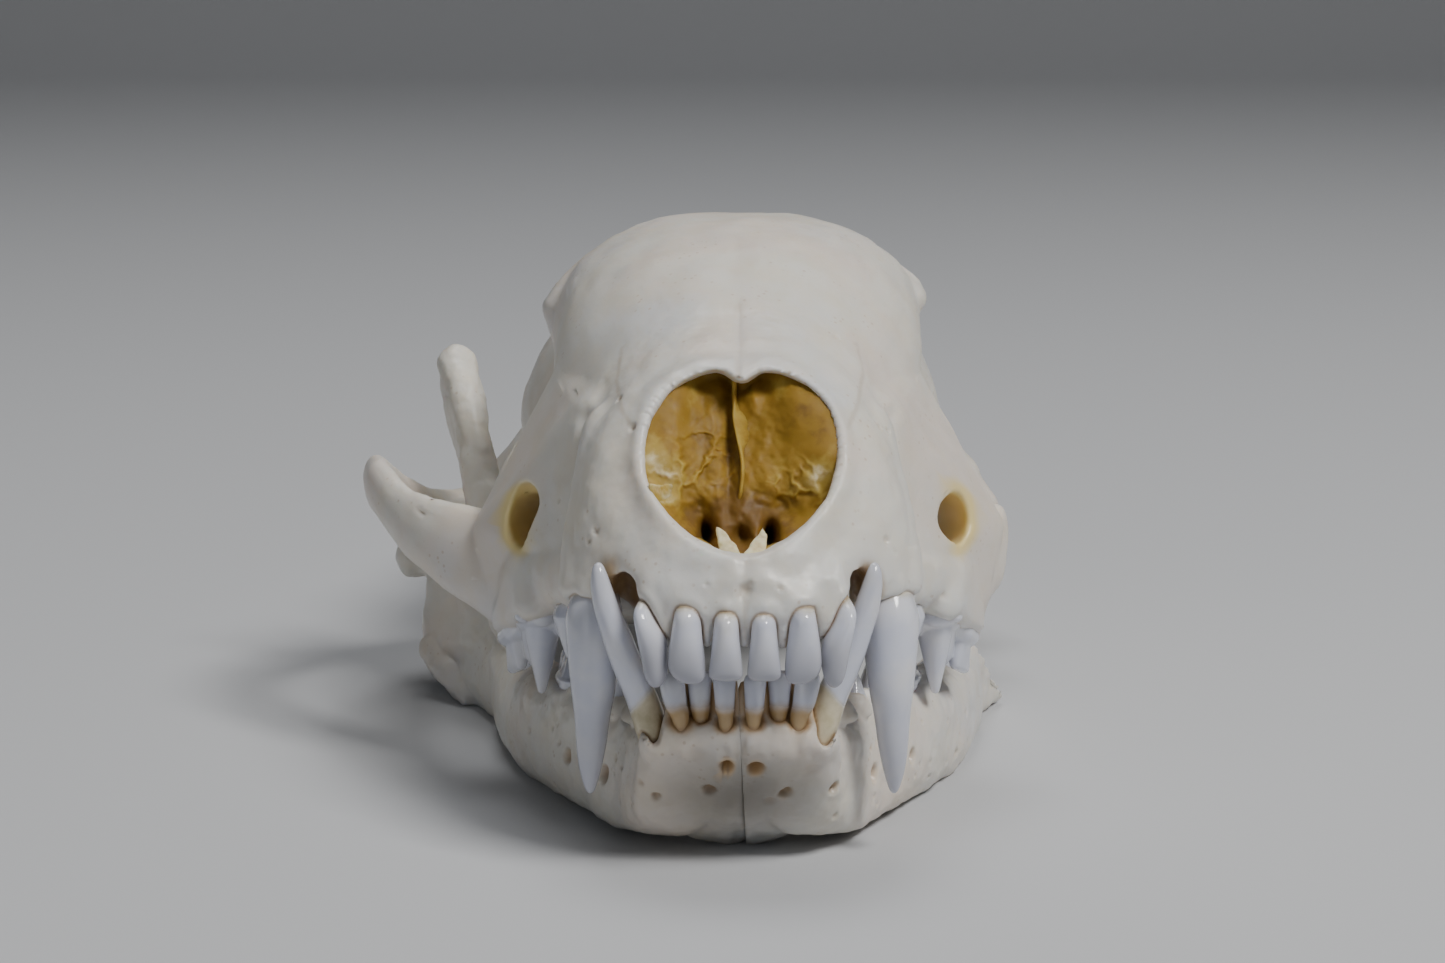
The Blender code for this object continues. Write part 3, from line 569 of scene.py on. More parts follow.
def make_cranium():
    """The cranium's bone without its teeth."""
    bm = bmesh.new()
    for sections in (CRANIUM_SECTIONS, ALVEOLAR_SECTIONS):
        skin_rings(bm, [section(*row) for row in smooth_rows(sections, 6)])
    both(bm, (9.6, 20.4, 11.6, 1.0), (14.2, 20.8, 3.2, 1.0), (13.4, 21.4, -0.6, 1.2),
         (12.8, 25.0, -0.6, 1.2), (6.6, 13.0, 9.0, 2.6), (7.6, 12.0, 2.2, 1.8))
    both(bm, (13.4, 21.4, 0.0, 1.2), (12.9, 21.8, -2.5, 1.1, 1.4, 1.1),
         (12.4, 25.0, -2.0, 1.2, 1.4, 1.1))
    hull(bm, (13.6, 21.6, 0.0, 1.1), (13.2, 22.4, -2.1, 1.0, 1.3, 1.0), (12.6, 25.0, -1.8, 1.1))
    both(bm, (8.0, 6.8, 1.0, 1.75, 2.0, 0.85), (7.9, 7.4, 3.0, 1.7, 1.9, 1.0),
         (7.5, 8.4, 5.4, 1.6, 1.9, 1.4), (7.0, 10.4, 8.6, 1.5, 1.9, 2.0))
    hull(bm, (-3.6, 2.4, 0.5, 1.2, 1.2, 0.9), (4.1, 2.4, 0.5, 1.2, 1.2, 0.9),
         (-4.0, 4.4, 0.8, 1.2, 1.6, 1.0), (4.4, 4.4, 0.8, 1.2, 1.6, 1.0))
    tooth_collars(bm)
    both(bm, (11.2, 14.6, -0.7, 1.1, 1.2, 1.0), (13.2, 20.2, -2.0, 0.9, 1.4, 1.0),
         (11.6, 17.6, 0.8, 1.6, 2.6, 1.6))
    both(bm, (10.2, 31.0, 16.2, 1.15, 2.0, 0.9), (8.1, 32.2, 18.3, 1.1, 1.6, 0.9))
    hull(bm, (-10.4, 31.0, 15.7, 1.4, 2.0, 1.0), (-9.8, 31.0, 13.8, 1.3, 2.0, 1.0))
    chain(bm, [(0, 39, 20.6, 0.9, 1, 0.6), (0, 50, 19.4, 0.6, 1, 0.7),
               (0, 60, 17.4, 0.5, 1, 0.9), (0, 68, 15.8, 0.7, 1, 1.0)])
    for side in sides((0, 68.2, 15.6, 1.0), (6.0, 67.8, 14.6, 0.8), (11.0, 65.6, 12.0, 0.8),
                      (12.9, 61.8, 7.6, 0.9), (15.3, 57.4, 4.4, 1.2)):
        chain(bm, smooth_rows(side, 4))
    both(bm, (13.0, 57.0, 4.6, 2.7), (16.3, 57.0, 2.2, 1.4), (12.0, 62.0, 6.0, 2.6))
    both(bm, (8.4, 56.0, 2.0, 4.6, 5.6, 2.2), (12.6, 54.0, 3.0, 3.4, 2.0, 1.7))
    both(bm, (11.4, 62.6, 1.2, 0.8), (10.6, 62.0, 4.6, 1.8))
    both(bm, (3.2, 65.4, 3.2, 1.8, 2.0, 1.6), (5.2, 68.4, 5.6, 1.7, 1.9, 2.5))
    bone = fuse(mesh_object("cranium_bone", bm), CRANIUM_VOXEL * 1.3)
    cut(bone, fuse(mesh_object("hollows", cranium_cutters()), CRANIUM_VOXEL * 1.3))
    bm = gather(bone)
    for side in sides((4.6, 27.0, 1.0, 0.8, 1, 1.6), (4.2, 36.0, 1.4, 0.55, 1, 2.2),
                      (4.0, 41.0, 0.6, 0.5, 1, 2.0), (3.8, 44.2, -1.4, 0.5, 0.7, 0.6)):
        chain(bm, side)
    hull(bm, (0, 26, 3.2, 5.0, 2, 1.2), (0, 50, 3.4, 5.0, 2, 1.2))
    chain(bm, mirrored(smooth_rows(ARCH, 2), -1))
    hull(bm, (13.0, 21.4, 1.0, 1.3, 1.8, 3.2), (15.0, 22.2, 1.9, 0.6, 1.0, 2.5))
    hull(bm, (12.6, 48.4, 3.4, 1.8, 2.6, 1.4), (16.0, 47.6, 2.7, 0.5, 2.0, 0.9))
    hull(bm, (-13.0, 47.2, 2.6, 1.8, 3.0, 1.1), (-20.4, 47.0, 2.3, 1.2, 2.2, 0.8))
    hull(bm, (-14.0, 49.8, 2.0, 1.2, 0.9, 2.6), (-18.6, 49.4, 1.4, 1.0, 0.8, 1.6))
    bm.to_mesh(bone.data)
    bm.free()
    fuse(bone, CRANIUM_VOXEL * 1.15)
    cut(bone, mesh_object("jaw_sockets", jaw_sockets()))
    cut(bone, fuse(mesh_object("canine_rooms", canine_rooms()), CRANIUM_VOXEL))
    fuse(bone, CRANIUM_VOXEL)
    co = points_of(bone)
    co[:, 0] += BRAINCASE_SHIFT * step(co[:, 1], 36, 48) * step(co[:, 2], 5, 9)
    place_points(bone, co)
    face = 1 - step(co[:, 1], 7.0, 15.0)
    soften(bone, 7, face * 0.72)
    thin_out(bone, BONE_TRIANGLES, face)
    return bone


# Ridges and hollows of the cranium's left, and mirrored its right: path, width and height
SIDE_STROKES = (
    (((7.9, 4.6, 1.4), (7.5, 6.8, 5.0), (7.0, 9.0, 8.6)), 1.0, 0.22),
    (((9.3, 8.0, 0.6), (9.1, 9.6, 5.6), (8.5, 11.4, 9.8)), 0.6, -0.30),
    (((6.0, 3.6, 3.4), (5.9, 5.4, 6.6)), 0.6, -0.16),
    (((10.4, 31.5, 17.0), (7.0, 34.6, 19.8), (3.2, 39.0, 20.7), (0.9, 46.0, 20.0)), 0.55, 0.26),
    (((9.0, 35.4, 16.2), (5.6, 38.4, 19.6)), 1.6, -0.30),
    (((13.6, 47.0, 12.2), (12.6, 53.0, 14.0), (10.4, 59.0, 14.2)), 0.5, 0.10),
    (((11.0, 63.6, 13.0), (7.0, 66.6, 15.0)), 1.0, -0.22),
    (((3.4, 27.0, -0.1), (3.0, 12.0, 0.9)), 0.5, -0.16),
    (((4.8, 55.0, 0.4), (6.6, 50.5, 1.6)), 0.8, -0.30),
    (((16.0, 20.6, 3.6), (15.2, 20.8, 0.0)), 0.6, 0.12),
)


def detail_cranium(bone, teeth):
    """Edges, ridges, seams, muscle marks and small holes of the cranium, and its marks."""
    tree = tree_of(bone)
    strokes = [(rim_line(1.04), 0.55, 0.20), (rim_line(1.34), 0.85, -0.16)]
    for sign in (1, -1):
        strokes += [(mirrored(path, sign), *rest) for path, *rest in SIDE_STROKES]
    strokes += [([(0, 8.0, 0.9), (0, 27.0, 0.0)], 0.28, 0.10),
                ([(0, 66.0, 3.2), (0, 52.0, 2.4)], 0.5, 0.16)]
    middle = on_face(tree, [(738, y) for y in range(378, 226, -8)])
    strokes += [(middle, 0.14, -0.07), (middle, 0.9, -0.10)]
    chin_line = on_face(tree, [(745, y) for y in range(560, 640, 6)])
    strokes += [(chin_line, 0.30, -0.10)]
    carve(bone, strokes)
    distance = tooth_distance(bone, teeth)
    co = points_of(bone)
    collar = np.exp(-((distance - 0.32) / 0.26) ** 2) * (co[:, 2] < 3.0)
    swell(bone, collar * 0.10)
    away = 1 - 0.7 * in_nose(co)
    roughen(bone, 5.0, 0.15, away)
    roughen(bone, 1.3, 0.036, away)
    chance = random.Random(4)
    places = [(p, r, d) for px, py, r, d in (
        (745, 590, 0.34, 0.30), (741, 596, 0.20, 0.2), (749, 583, 0.18, 0.18),
        (595, 530, 0.22, 0.16), (588, 541, 0.18, 0.12), (886, 540, 0.22, 0.18),
        (893, 552, 0.16, 0.2), (706, 584, 0.14, 0.14), (780, 588, 0.16, 0.14),
        (633, 428, 0.24, 0.16))
        for p in on_face(tree, [(px, py)])]
    for _ in range(70):
        side = chance.choice((-1, 1))
        start = (side * 40, chance.uniform(8, 62), chance.uniform(2, 18))
        places += [(spot, chance.uniform(0.12, 0.24), chance.uniform(0.1, 0.22))
                   for spot in met(tree, start, (-side, 0, chance.uniform(-0.2, 0.2)))]
    for side in (1, -1):
        places += [((side * x, y, z), radius, depth) for x, y, z, radius, depth in (
            (2.6, 17.0, 0.2, 0.35, 0.5), (3.0, 20.5, 0.2, 0.28, 0.4),
            (9.0, 60.6, 1.8, 0.5, 0.6), (5.4, 62.0, 2.4, 0.42, 0.6),
            (9.2, 34.0, 12.0, 0.35, 0.5), (10.2, 21.5, 9.2, 0.6, 0.7))]
    # Pits come out brown by their depth: painted shade, partly stain
    hollow_shade_and_stain = pit(bone, places)
    co = points_of(bone)
    painted_canal_glow = np.zeros(len(co))
    # Painted shade: the hollows beside the upper canines are browned where shade falls in them
    for point, radius in (((-5.95, 4.0, 1.1), 1.5), ((6.1, 4.0, 1.1), 1.3)):
        away = np.linalg.norm((co - np.array(point)) / (1, 1.3, 1.2), axis=1)
        hollow_shade_and_stain = np.maximum(hollow_shade_and_stain, (1 - step(away, radius * 0.9, radius * 1.35))
                          * step(co[:, 1], 2.2, 2.9))
    for sign in (1, -1):
        canal = path_distance(co, [(sign * 12.3, 15.5, 4.0), (sign * 10.5, 20.5, 3.4),
                                   (sign * 9.4, 25.0, 3.4)])
        # Painted light: the cheek canals are tinted bright ochre, as if lit by light coming through
        # them
        painted_canal_glow = np.maximum(painted_canal_glow, 0.88 * (1 - step(canal, 1.8, 2.4)) * step(co[:, 1], 14.2, 16.2)
                           * (1 - step(co[:, 1], 21.0, 23.5)))
        # Painted shade, partly stain: the insides of holes are browned
        for point, radius in (((sign * 16.6, 53.8, 3.0), 1.3), ((sign * 4.2, 37.0, 4.4), 1.2),
                              ((sign * 1.7, 5.0, 0.6), 1.0), ((sign * 7.4, 46.6, 3.0), 1.0)):
            away = np.linalg.norm(co - np.array(point), axis=1)
            hollow_shade_and_stain = np.maximum(hollow_shade_and_stain, 0.8 * (1 - step(away, radius * 0.5, radius * 1.2)))
    # Painted shade inside the opening at the back of the skull
    brain = np.linalg.norm((co - np.array((0, 60.0, 8.0))) / (5.0, 8.0, 4.4), axis=1)
    hollow_shade_and_stain = np.maximum(hollow_shade_and_stain, 0.85 * (1 - step(brain, 0.75, 1.0)))
    mark(bone, "nose", in_nose(co))
    mark(bone, "canal", painted_canal_glow)
    mark(bone, "tooth", tooth_distance(bone, teeth) + 0.10 * step(co[:, 1], 8.0, 9.5))
    mark(bone, "hollow", hollow_shade_and_stain)
    seams = [middle, chin_line,
             on_face(tree, [(633, 428), (622, 410), (616, 380), (622, 345)]),
             on_face(tree, [(846, 430), (858, 405), (862, 375), (856, 345)])]
    seam = np.minimum.reduce([path_distance(co, line) for line in seams if len(line) > 1])
    mark(bone, "seam", 1 - step(seam, 0.05, 0.22))


# ---- the inside of the nose


def net(x, z, count, seed, box):
    """Cells of a bony net: 1 on their walls and 0 in their middles, and each cell's own pick."""
    chance = np.random.default_rng(seed)
    spots = chance.uniform((box[0], box[1]), (box[2], box[3]), (count, 2))
    pick = chance.uniform(0, 1, count)
    away = np.hypot(x[..., None] - spots[:, 0], z[..., None] - spots[:, 1])
    order = np.argsort(away, axis=-1)[..., :2]
    first = np.take_along_axis(away, order[..., :1], -1)[..., 0]
    second = np.take_along_axis(away, order[..., 1:2], -1)[..., 0]
    return 1 - step(second - first, 0.0, 0.46), pick[order[..., 0]]


def patches(values, x, z, table):
    """Values with soft round patches added: each has X and Z, half sizes and a height."""
    for px, pz, width, tall, height in table:
        values = values + height * np.exp(-((x - px) / width) ** 2 - ((z - pz) / tall) ** 2)
    return values


# Relief of the nose's lining: X and Z of its middle, half sizes, and how far back
RELIEF = (
    (-2.6, 8.4, 1.8, 2.0, -0.5), (-4.2, 8.4, 1.1, 2.2, -0.5),
    (3.3, 10.0, 2.3, 1.7, -0.6), (3.6, 6.9, 1.6, 1.2, -0.5),
    (-3.9, 5.6, 1.0, 1.1, -0.5), (1.6, 7.0, 0.9, 1.5, -0.3),
    (3.7, 11.6, 1.7, 1.2, -0.9), (-3.7, 11.2, 1.4, 1.2, -0.9),
    (-1.2, 11.2, 0.8, 1.5, -0.5), (0.75, 11.2, 0.6, 1.5, -0.5),
    (-1.76, 3.75, 0.42, 0.7, 3.4), (1.6, 3.65, 0.38, 0.7, 3.4),
    (-0.55, 7.6, 0.34, 3.2, 0.5), (0.1, 3.7, 0.5, 0.7, 1.2),
    (-2.2, 5.0, 0.9, 0.7, 0.8), (2.2, 5.1, 0.9, 0.7, 0.7),
)
# Where the lining is net-like: X and Z, half sizes, and how much
NETTED = ((-2.7, 7.7, 2.0, 1.5, 1), (3.5, 6.6, 1.9, 1.3, 1), (-3.8, 5.6, 1.2, 1.1, 1))
# Patches of tone: X and Z, half sizes, and how much paler or darker; the two darkest, at the
# floor's openings, and the narrow one beside the partition's left side are painted shade
TONES = (
    (-4.5, 7.8, 0.7, 1.1, 0.42), (-3.5, 7.2, 0.9, 0.9, 0.2),
    (-3.9, 5.9, 0.8, 0.8, 0.26), (-2.5, 11.3, 0.35, 0.9, 0.2),
    (2.1, 11.7, 0.45, 0.8, 0.16), (4.3, 6.9, 0.8, 1.0, 0.3),
    (2.6, 6.4, 0.9, 0.6, 0.08), (-1.25, 11.0, 0.85, 1.5, -0.02),
    (0.65, 11.0, 0.6, 1.5, -0.04), (4.0, 9.8, 1.2, 1.6, -0.08),
    (-1.6, 9.2, 0.7, 0.7, -0.1), (-0.45, 8.0, 0.4, 3.2, -0.18),
    (-1.0, 4.9, 1.0, 0.9, -0.18), (-2.7, 4.7, 1.0, 0.9, -0.2),
    (0.1, 4.7, 1.2, 1.2, -0.38), (2.2, 4.4, 1.0, 0.6, -0.14),
    (0.15, 3.3, 0.7, 0.6, -0.2), (-1.76, 3.6, 0.42, 0.55, -0.75),
    (1.6, 3.5, 0.4, 0.55, -0.75), (1.8, 5.0, 1.3, 0.8, -0.12),
)


def noise_field(x, z, size, level):
    """Soft random waves over a grid of X and Z."""
    return np.array([fractal(Vector((a / size, b / size, level)), 0.8, 2.0, 3)
                     for a, b in zip(x.ravel(), z.ravel())]).reshape(x.shape)


def nose_lining():
    """The folded, net-like bone that fills the back of the nose, as one closed relief."""
    rings, spokes = ((100, 300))
    edge = np.array([nose_edge(*turn) for turn in turns(spokes, 0.5)])
    share = np.linspace(0, 1.12, rings + 1)[1:, None]
    x, z = NOSE_SHIFT + share * edge[:, 0], NOSE_MIDDLE + share * edge[:, 1]
    x, z = np.append(x.ravel(), NOSE_SHIFT), np.append(z.ravel(), NOSE_MIDDLE)
    bend, bend2 = noise_field(x, z, 1.2, 3.1), noise_field(x, z, 1.1, 7.7)
    walls, pick = net(x + 0.5 * bend, z + 0.5 * bend2, 120, 12, (-6, 2, 6, 13.5))
    netted = np.clip(1.2 * patches(0, x, z, NETTED), 0, 1)
    depth = patches(rim_y(z) + 1.9, x, z, RELIEF)
    tone = patches(0.34, x, z, TONES)
    depth += 0.16 * bend + netted * ((0.04 + 0.20 * pick) * (1 - walls) - 0.05 * walls)
    tone += 0.08 * bend2 + netted * (0.12 * walls - 0.08 * (1 - walls) * pick)
    out = np.append(np.repeat(share.ravel(), spokes), 0.0)
    depth -= 0.7 * step(out, 0.86, 1.02)
    flush = step(out, 0.20, 0.92) * (1 - step(out, 0.99, 1.05)) * step(z, 5.6, 8.4)
    flush = flush * np.where(x > 0, step(x, 0.8, 3.2), 0.85 * step(-x, 1.8, 3.6))
    depth += flush * (rim_y(z) + 0.10 - depth)
    bm = bmesh.new()
    front = [bm.verts.new(p) for p in zip(x, depth, z)]
    centre = front[-1]
    rows = [front[i * spokes:(i + 1) * spokes] for i in range(rings)]
    rows.append([bm.verts.new((v.co.x, NOSE_DEPTH + 1.5, v.co.z)) for v in rows[-1]])
    for i in range(spokes):
        j = (i + 1) % spokes
        bm.faces.new((centre, rows[0][j], rows[0][i]))
        for inner, outer in zip(rows, rows[1:]):
            bm.faces.new((inner[i], inner[j], outer[j], outer[i]))
    bm.faces.new(rows[-1])
    piece = mesh_object("nose_lining", bm)
    values = np.concatenate((tone, np.full(spokes, 0.2)))
    mark(piece, "tone", np.clip(values, -0.6, 1))
    return piece


def plate(name, outline, thickness, tone):
    """A thin bony plate from its outline's points, closed all round."""
    middle = np.array(outline, float)
    normal = Vector(np.cross(middle[1] - middle[0], middle[-1] - middle[0])).normalized()
    rims = []
    for shift, shrink in ((-0.5, 0.86), (-0.3, 1.0), (0.3, 1.0), (0.5, 0.86)):
        centre = middle.mean(axis=0)
        rims.append([Vector(centre + (p - centre) * shrink) + normal * thickness * shift
                     for p in middle])
    piece = fuse(mesh_object(name, skin_rings(bmesh.new(), rims)), BLADE_VOXEL)
    soften(piece, 4)
    roughen(piece, 0.9, 0.07)
    mark(piece, "tone", tone + 0.10 * grain(points_of(piece), 0.7))
    return piece


# The partition's levels: Z, X and Y of its front edge, X and Y of its back edge
PARTITION = (
    (12.7, -0.24, 8.0, 0.00, 12.5),
    (12.0, -0.27, 7.9, 0.02, 12.0),
    (11.0, -0.28, 7.7, -0.02, 10.6),
    (10.4, -0.26, 7.4, 0.08, 8.6),
    (10.0, -0.24, 7.1, 0.30, 7.7),
    (9.6, -0.20, 6.8, 0.42, 7.4),
    (9.2, -0.12, 6.5, 0.36, 7.1),
    (8.8, -0.04, 6.2, 0.46, 6.9),
    (8.4, 0.03, 5.9, 0.36, 6.9),
    (8.0, 0.10, 5.7, 0.26, 7.6),
    (7.4, 0.16, 5.4, 0.28, 8.0),
    (6.6, 0.13, 5.1, 0.25, 8.0),
    (5.8, 0.02, 5.0, 0.18, 8.0),
    (5.0, -0.12, 5.6, 0.10, 8.0),
    (4.4, -0.10, 6.4, 0.10, 8.4),
)


def nose_partition():
    """The thin wall in the middle of the nose, bent and ragged as the photograph shows it."""
    chance = random.Random(21)
    rings = []
    for z, front_x, front_y, back_x, back_y in smooth_rows(PARTITION, 5):
        rag = chance.uniform(-0.05, 0.05) if 8.4 < z < 10.8 else 0
        front, back = np.array((front_x, front_y)), np.array((back_x + rag, back_y))
        along = (back - front) / np.linalg.norm(back - front)
        side = np.array((along[1], -along[0]))
        half = 0.10 + 0.20 * float(step(6.2 - z, 0, 1.8)) + 0.05 * float(step(z, 11.0, 12.4))
        ring = []
        for c, s in turns(20, 0.5):
            core, reach = (front, 1.6) if c < 0 else (back, 1.0)
            ring.append((*(core + along * c * half * reach + side * s * half), z))
        rings.append(ring)
    piece = mesh_object("nose_partition", skin_rings(bmesh.new(), rings))
    x, y, z = points_of(piece).T
    levels = np.array(PARTITION[::-1])
    edge = np.interp(z, levels[:, 0], levels[:, 2])
    tone = 0.12 + 0.40 * (1 - step(y - edge, -0.1, 0.5)) - 0.30 * step(6.4 - z, 0, 1.4)
    tone += 0.26 * step(x, 0.0, 0.3) * step(z, 8.0, 8.6) * (1 - step(z, 10.4, 11.0))
    mark(piece, "tone", tone)
    return piece


def nose_blades():
    """Two pale blades that stand as a V on the nose's floor, and a ragged plate on the right."""
    return [
        plate("blade", [(-1.25, 3.3, 4.30), (-1.12, 2.6, 3.5), (-1.03, 2.1, 2.75),
                        (0.12, 1.8, 2.80), (-0.24, 2.5, 3.41), (-0.76, 3.0, 3.98)], 0.34, 0.82),
        plate("blade", [(1.20, 3.3, 4.25), (0.94, 3.0, 3.88), (0.56, 2.5, 3.41),
                        (0.12, 1.8, 2.80), (1.26, 2.1, 2.75), (1.48, 3.0, 3.86)], 0.34, 0.84),
        plate("blade", [(-4.75, 3.0, 6.6), (-4.4, 3.6, 6.5), (-3.9, 4.3, 6.52), (-3.55, 4.8, 6.45),
                        (-3.38, 5.0, 6.15), (-3.14, 5.3, 6.02), (-2.98, 5.5, 5.8),
                        (-3.2, 5.3, 5.5), (-3.15, 5.3, 5.3), (-3.4, 5.0, 4.9), (-3.3, 4.9, 4.72),
                        (-3.9, 4.0, 4.9), (-4.5, 3.0, 5.5)], 0.24, 0.66),
    ]


def thread_tree(material):
    """Geometry Nodes: round bony threads along lines, thick at their ends, gently wavy."""
    tree = bpy.data.node_groups.new("bony_threads", "GeometryNodeTree")
    tree.is_modifier = True
    for name, kind in (("Geometry", "Geometry"), ("Thickness", "Float"), ("Waver", "Float"),
                       ("Seed", "Int")):
        tree.interface.new_socket(name, in_out="INPUT", socket_type="NodeSocket" + kind)
    tree.interface.new_socket("Geometry", in_out="OUTPUT", socket_type="NodeSocketGeometry")
    add = tree.nodes.new
    given, out = add("NodeGroupInput"), add("NodeGroupOutput")
    curve, even = add("GeometryNodeMeshToCurve"), add("GeometryNodeResampleCurve")
    place, noise = add("GeometryNodeInputPosition"), add("ShaderNodeTexNoise")
    centre, size = add("ShaderNodeVectorMath"), add("ShaderNodeVectorMath")
    move, along = add("GeometryNodeSetPosition"), add("GeometryNodeSplineParameter")
    thick, radius = add("ShaderNodeFloatCurve"), add("GeometryNodeSetCurveRadius")
    ring, skin = add("GeometryNodeCurvePrimitiveCircle"), add("GeometryNodeCurveToMesh")
    real, paint = add("GeometryNodeRealizeInstances"), add("GeometryNodeSetMaterial")
    even.inputs["Count"].default_value = 18
    noise.noise_dimensions = "4D"
    noise.inputs["Scale"].default_value = 1.6
    centre.operation, size.operation = "SUBTRACT", "SCALE"
    centre.inputs[1].default_value = (0.5, 0.5, 0.5)
    points = thick.mapping.curves[0].points
    points[0].location, points[1].location = (0.0, 1.0), (1.0, 1.0)
    points.new(0.5, 0.45)
    thick.mapping.update()
    ring.inputs["Resolution"].default_value = 8
    skin.inputs["Fill Caps"].default_value = True
    paint.inputs["Material"].default_value = material
    for source, output, target, socket in (
            (given, "Geometry", curve, "Mesh"), (curve, "Curve", even, "Curve"),
            (place, "Position", noise, "Vector"), (given, "Seed", noise, "W"),
            (noise, "Color", centre, 0), (centre, "Vector", size, 0),
            (given, "Waver", size, "Scale"), (even, "Curve", move, "Geometry"),
            (size, "Vector", move, "Offset"), (move, "Geometry", radius, "Curve"),
            (along, "Factor", thick, "Value"), (thick, "Value", radius, "Radius"),
            (given, "Thickness", ring, "Radius"), (radius, "Curve", skin, "Curve"),
            (ring, "Curve", skin, "Profile Curve"), (thick, "Value", skin, "Scale"),
            (skin, "Mesh", real, "Geometry"), (real, "Geometry", paint, "Geometry"),
            (paint, "Geometry", out, "Geometry")):
        tree.links.new(source.outputs[output], target.inputs[socket])
    return tree


def grow(name, lines, tree, **values):
    """Run a Geometry Nodes tree over lines of points and keep its result as a plain mesh."""
    bm = bmesh.new()
    for line in lines:
        verts = [bm.verts.new(p) for p in line]
        for a, b in zip(verts, verts[1:]):
            bm.edges.new((a, b))
    obj = mesh_object(name, bm)
    modifier = obj.modifiers.new("grow", "NODES")
    modifier.node_group = tree
    for item in tree.interface.items_tree:
        if item.item_type == "SOCKET" and item.in_out == "INPUT" and item.name in values:
            modifier[item.identifier] = values[item.name]
    return apply_modifiers(obj)


# Threads of bone in the nose, as X, Y and Z
THREADS = (
    ((4.7, 4.6, 6.75), (4.2, 4.8, 6.42), (3.85, 5.0, 6.26), (3.2, 5.3, 5.87)),
    ((3.85, 5.0, 6.26), (3.6, 5.2, 6.9), (3.3, 5.4, 7.3)),
    ((3.2, 5.3, 5.87), (2.6, 5.4, 6.1), (2.2, 5.4, 5.7)),
    ((4.4, 5.4, 8.1), (4.0, 5.5, 7.4), (4.3, 5.0, 6.9)),
    ((-4.4, 5.2, 7.6), (-4.0, 5.2, 7.2), (-3.4, 5.3, 7.0)),
    ((-4.2, 4.2, 5.4), (-3.8, 4.6, 5.9), (-3.2, 5.1, 6.3)),
)


# ---- the lower jaw


def jaw_section(y, x, half, low, top):
    """One ring of the lower jaw's body, a tall rounded bar."""
    middle, height = (low + top) / 2, (top - low) / 2
    return [(x + half * bulge(c, 0.75), y, middle + height * bulge(s, 0.75))
            for c, s in turns(44)]


def socket_edges():
    """Notches that the lower front teeth's sockets leave in the chin's upper edge."""
    bm = bmesh.new()
    hull(bm, (4.50, 1.2, -6.75, 0.24, 1.0, 0.5), (4.55, 3.1, -6.7, 0.36, 1.0, 0.5),
         (4.65, 1.2, -4.6, 1.05, 1.0, 0.8), (4.75, 3.7, -4.6, 1.1, 1.2, 0.8))
    for x, y, half in ((0.73, 1.2, 0.38), (2.03, 1.2, 0.43), (3.04, 1.2, 0.46)):
        hull(bm, (x, y, -5.74, half * 0.8, 1.5, 0.42), (x, y, -4.8, half * 1.2, 1.6, 0.5))
    return bm


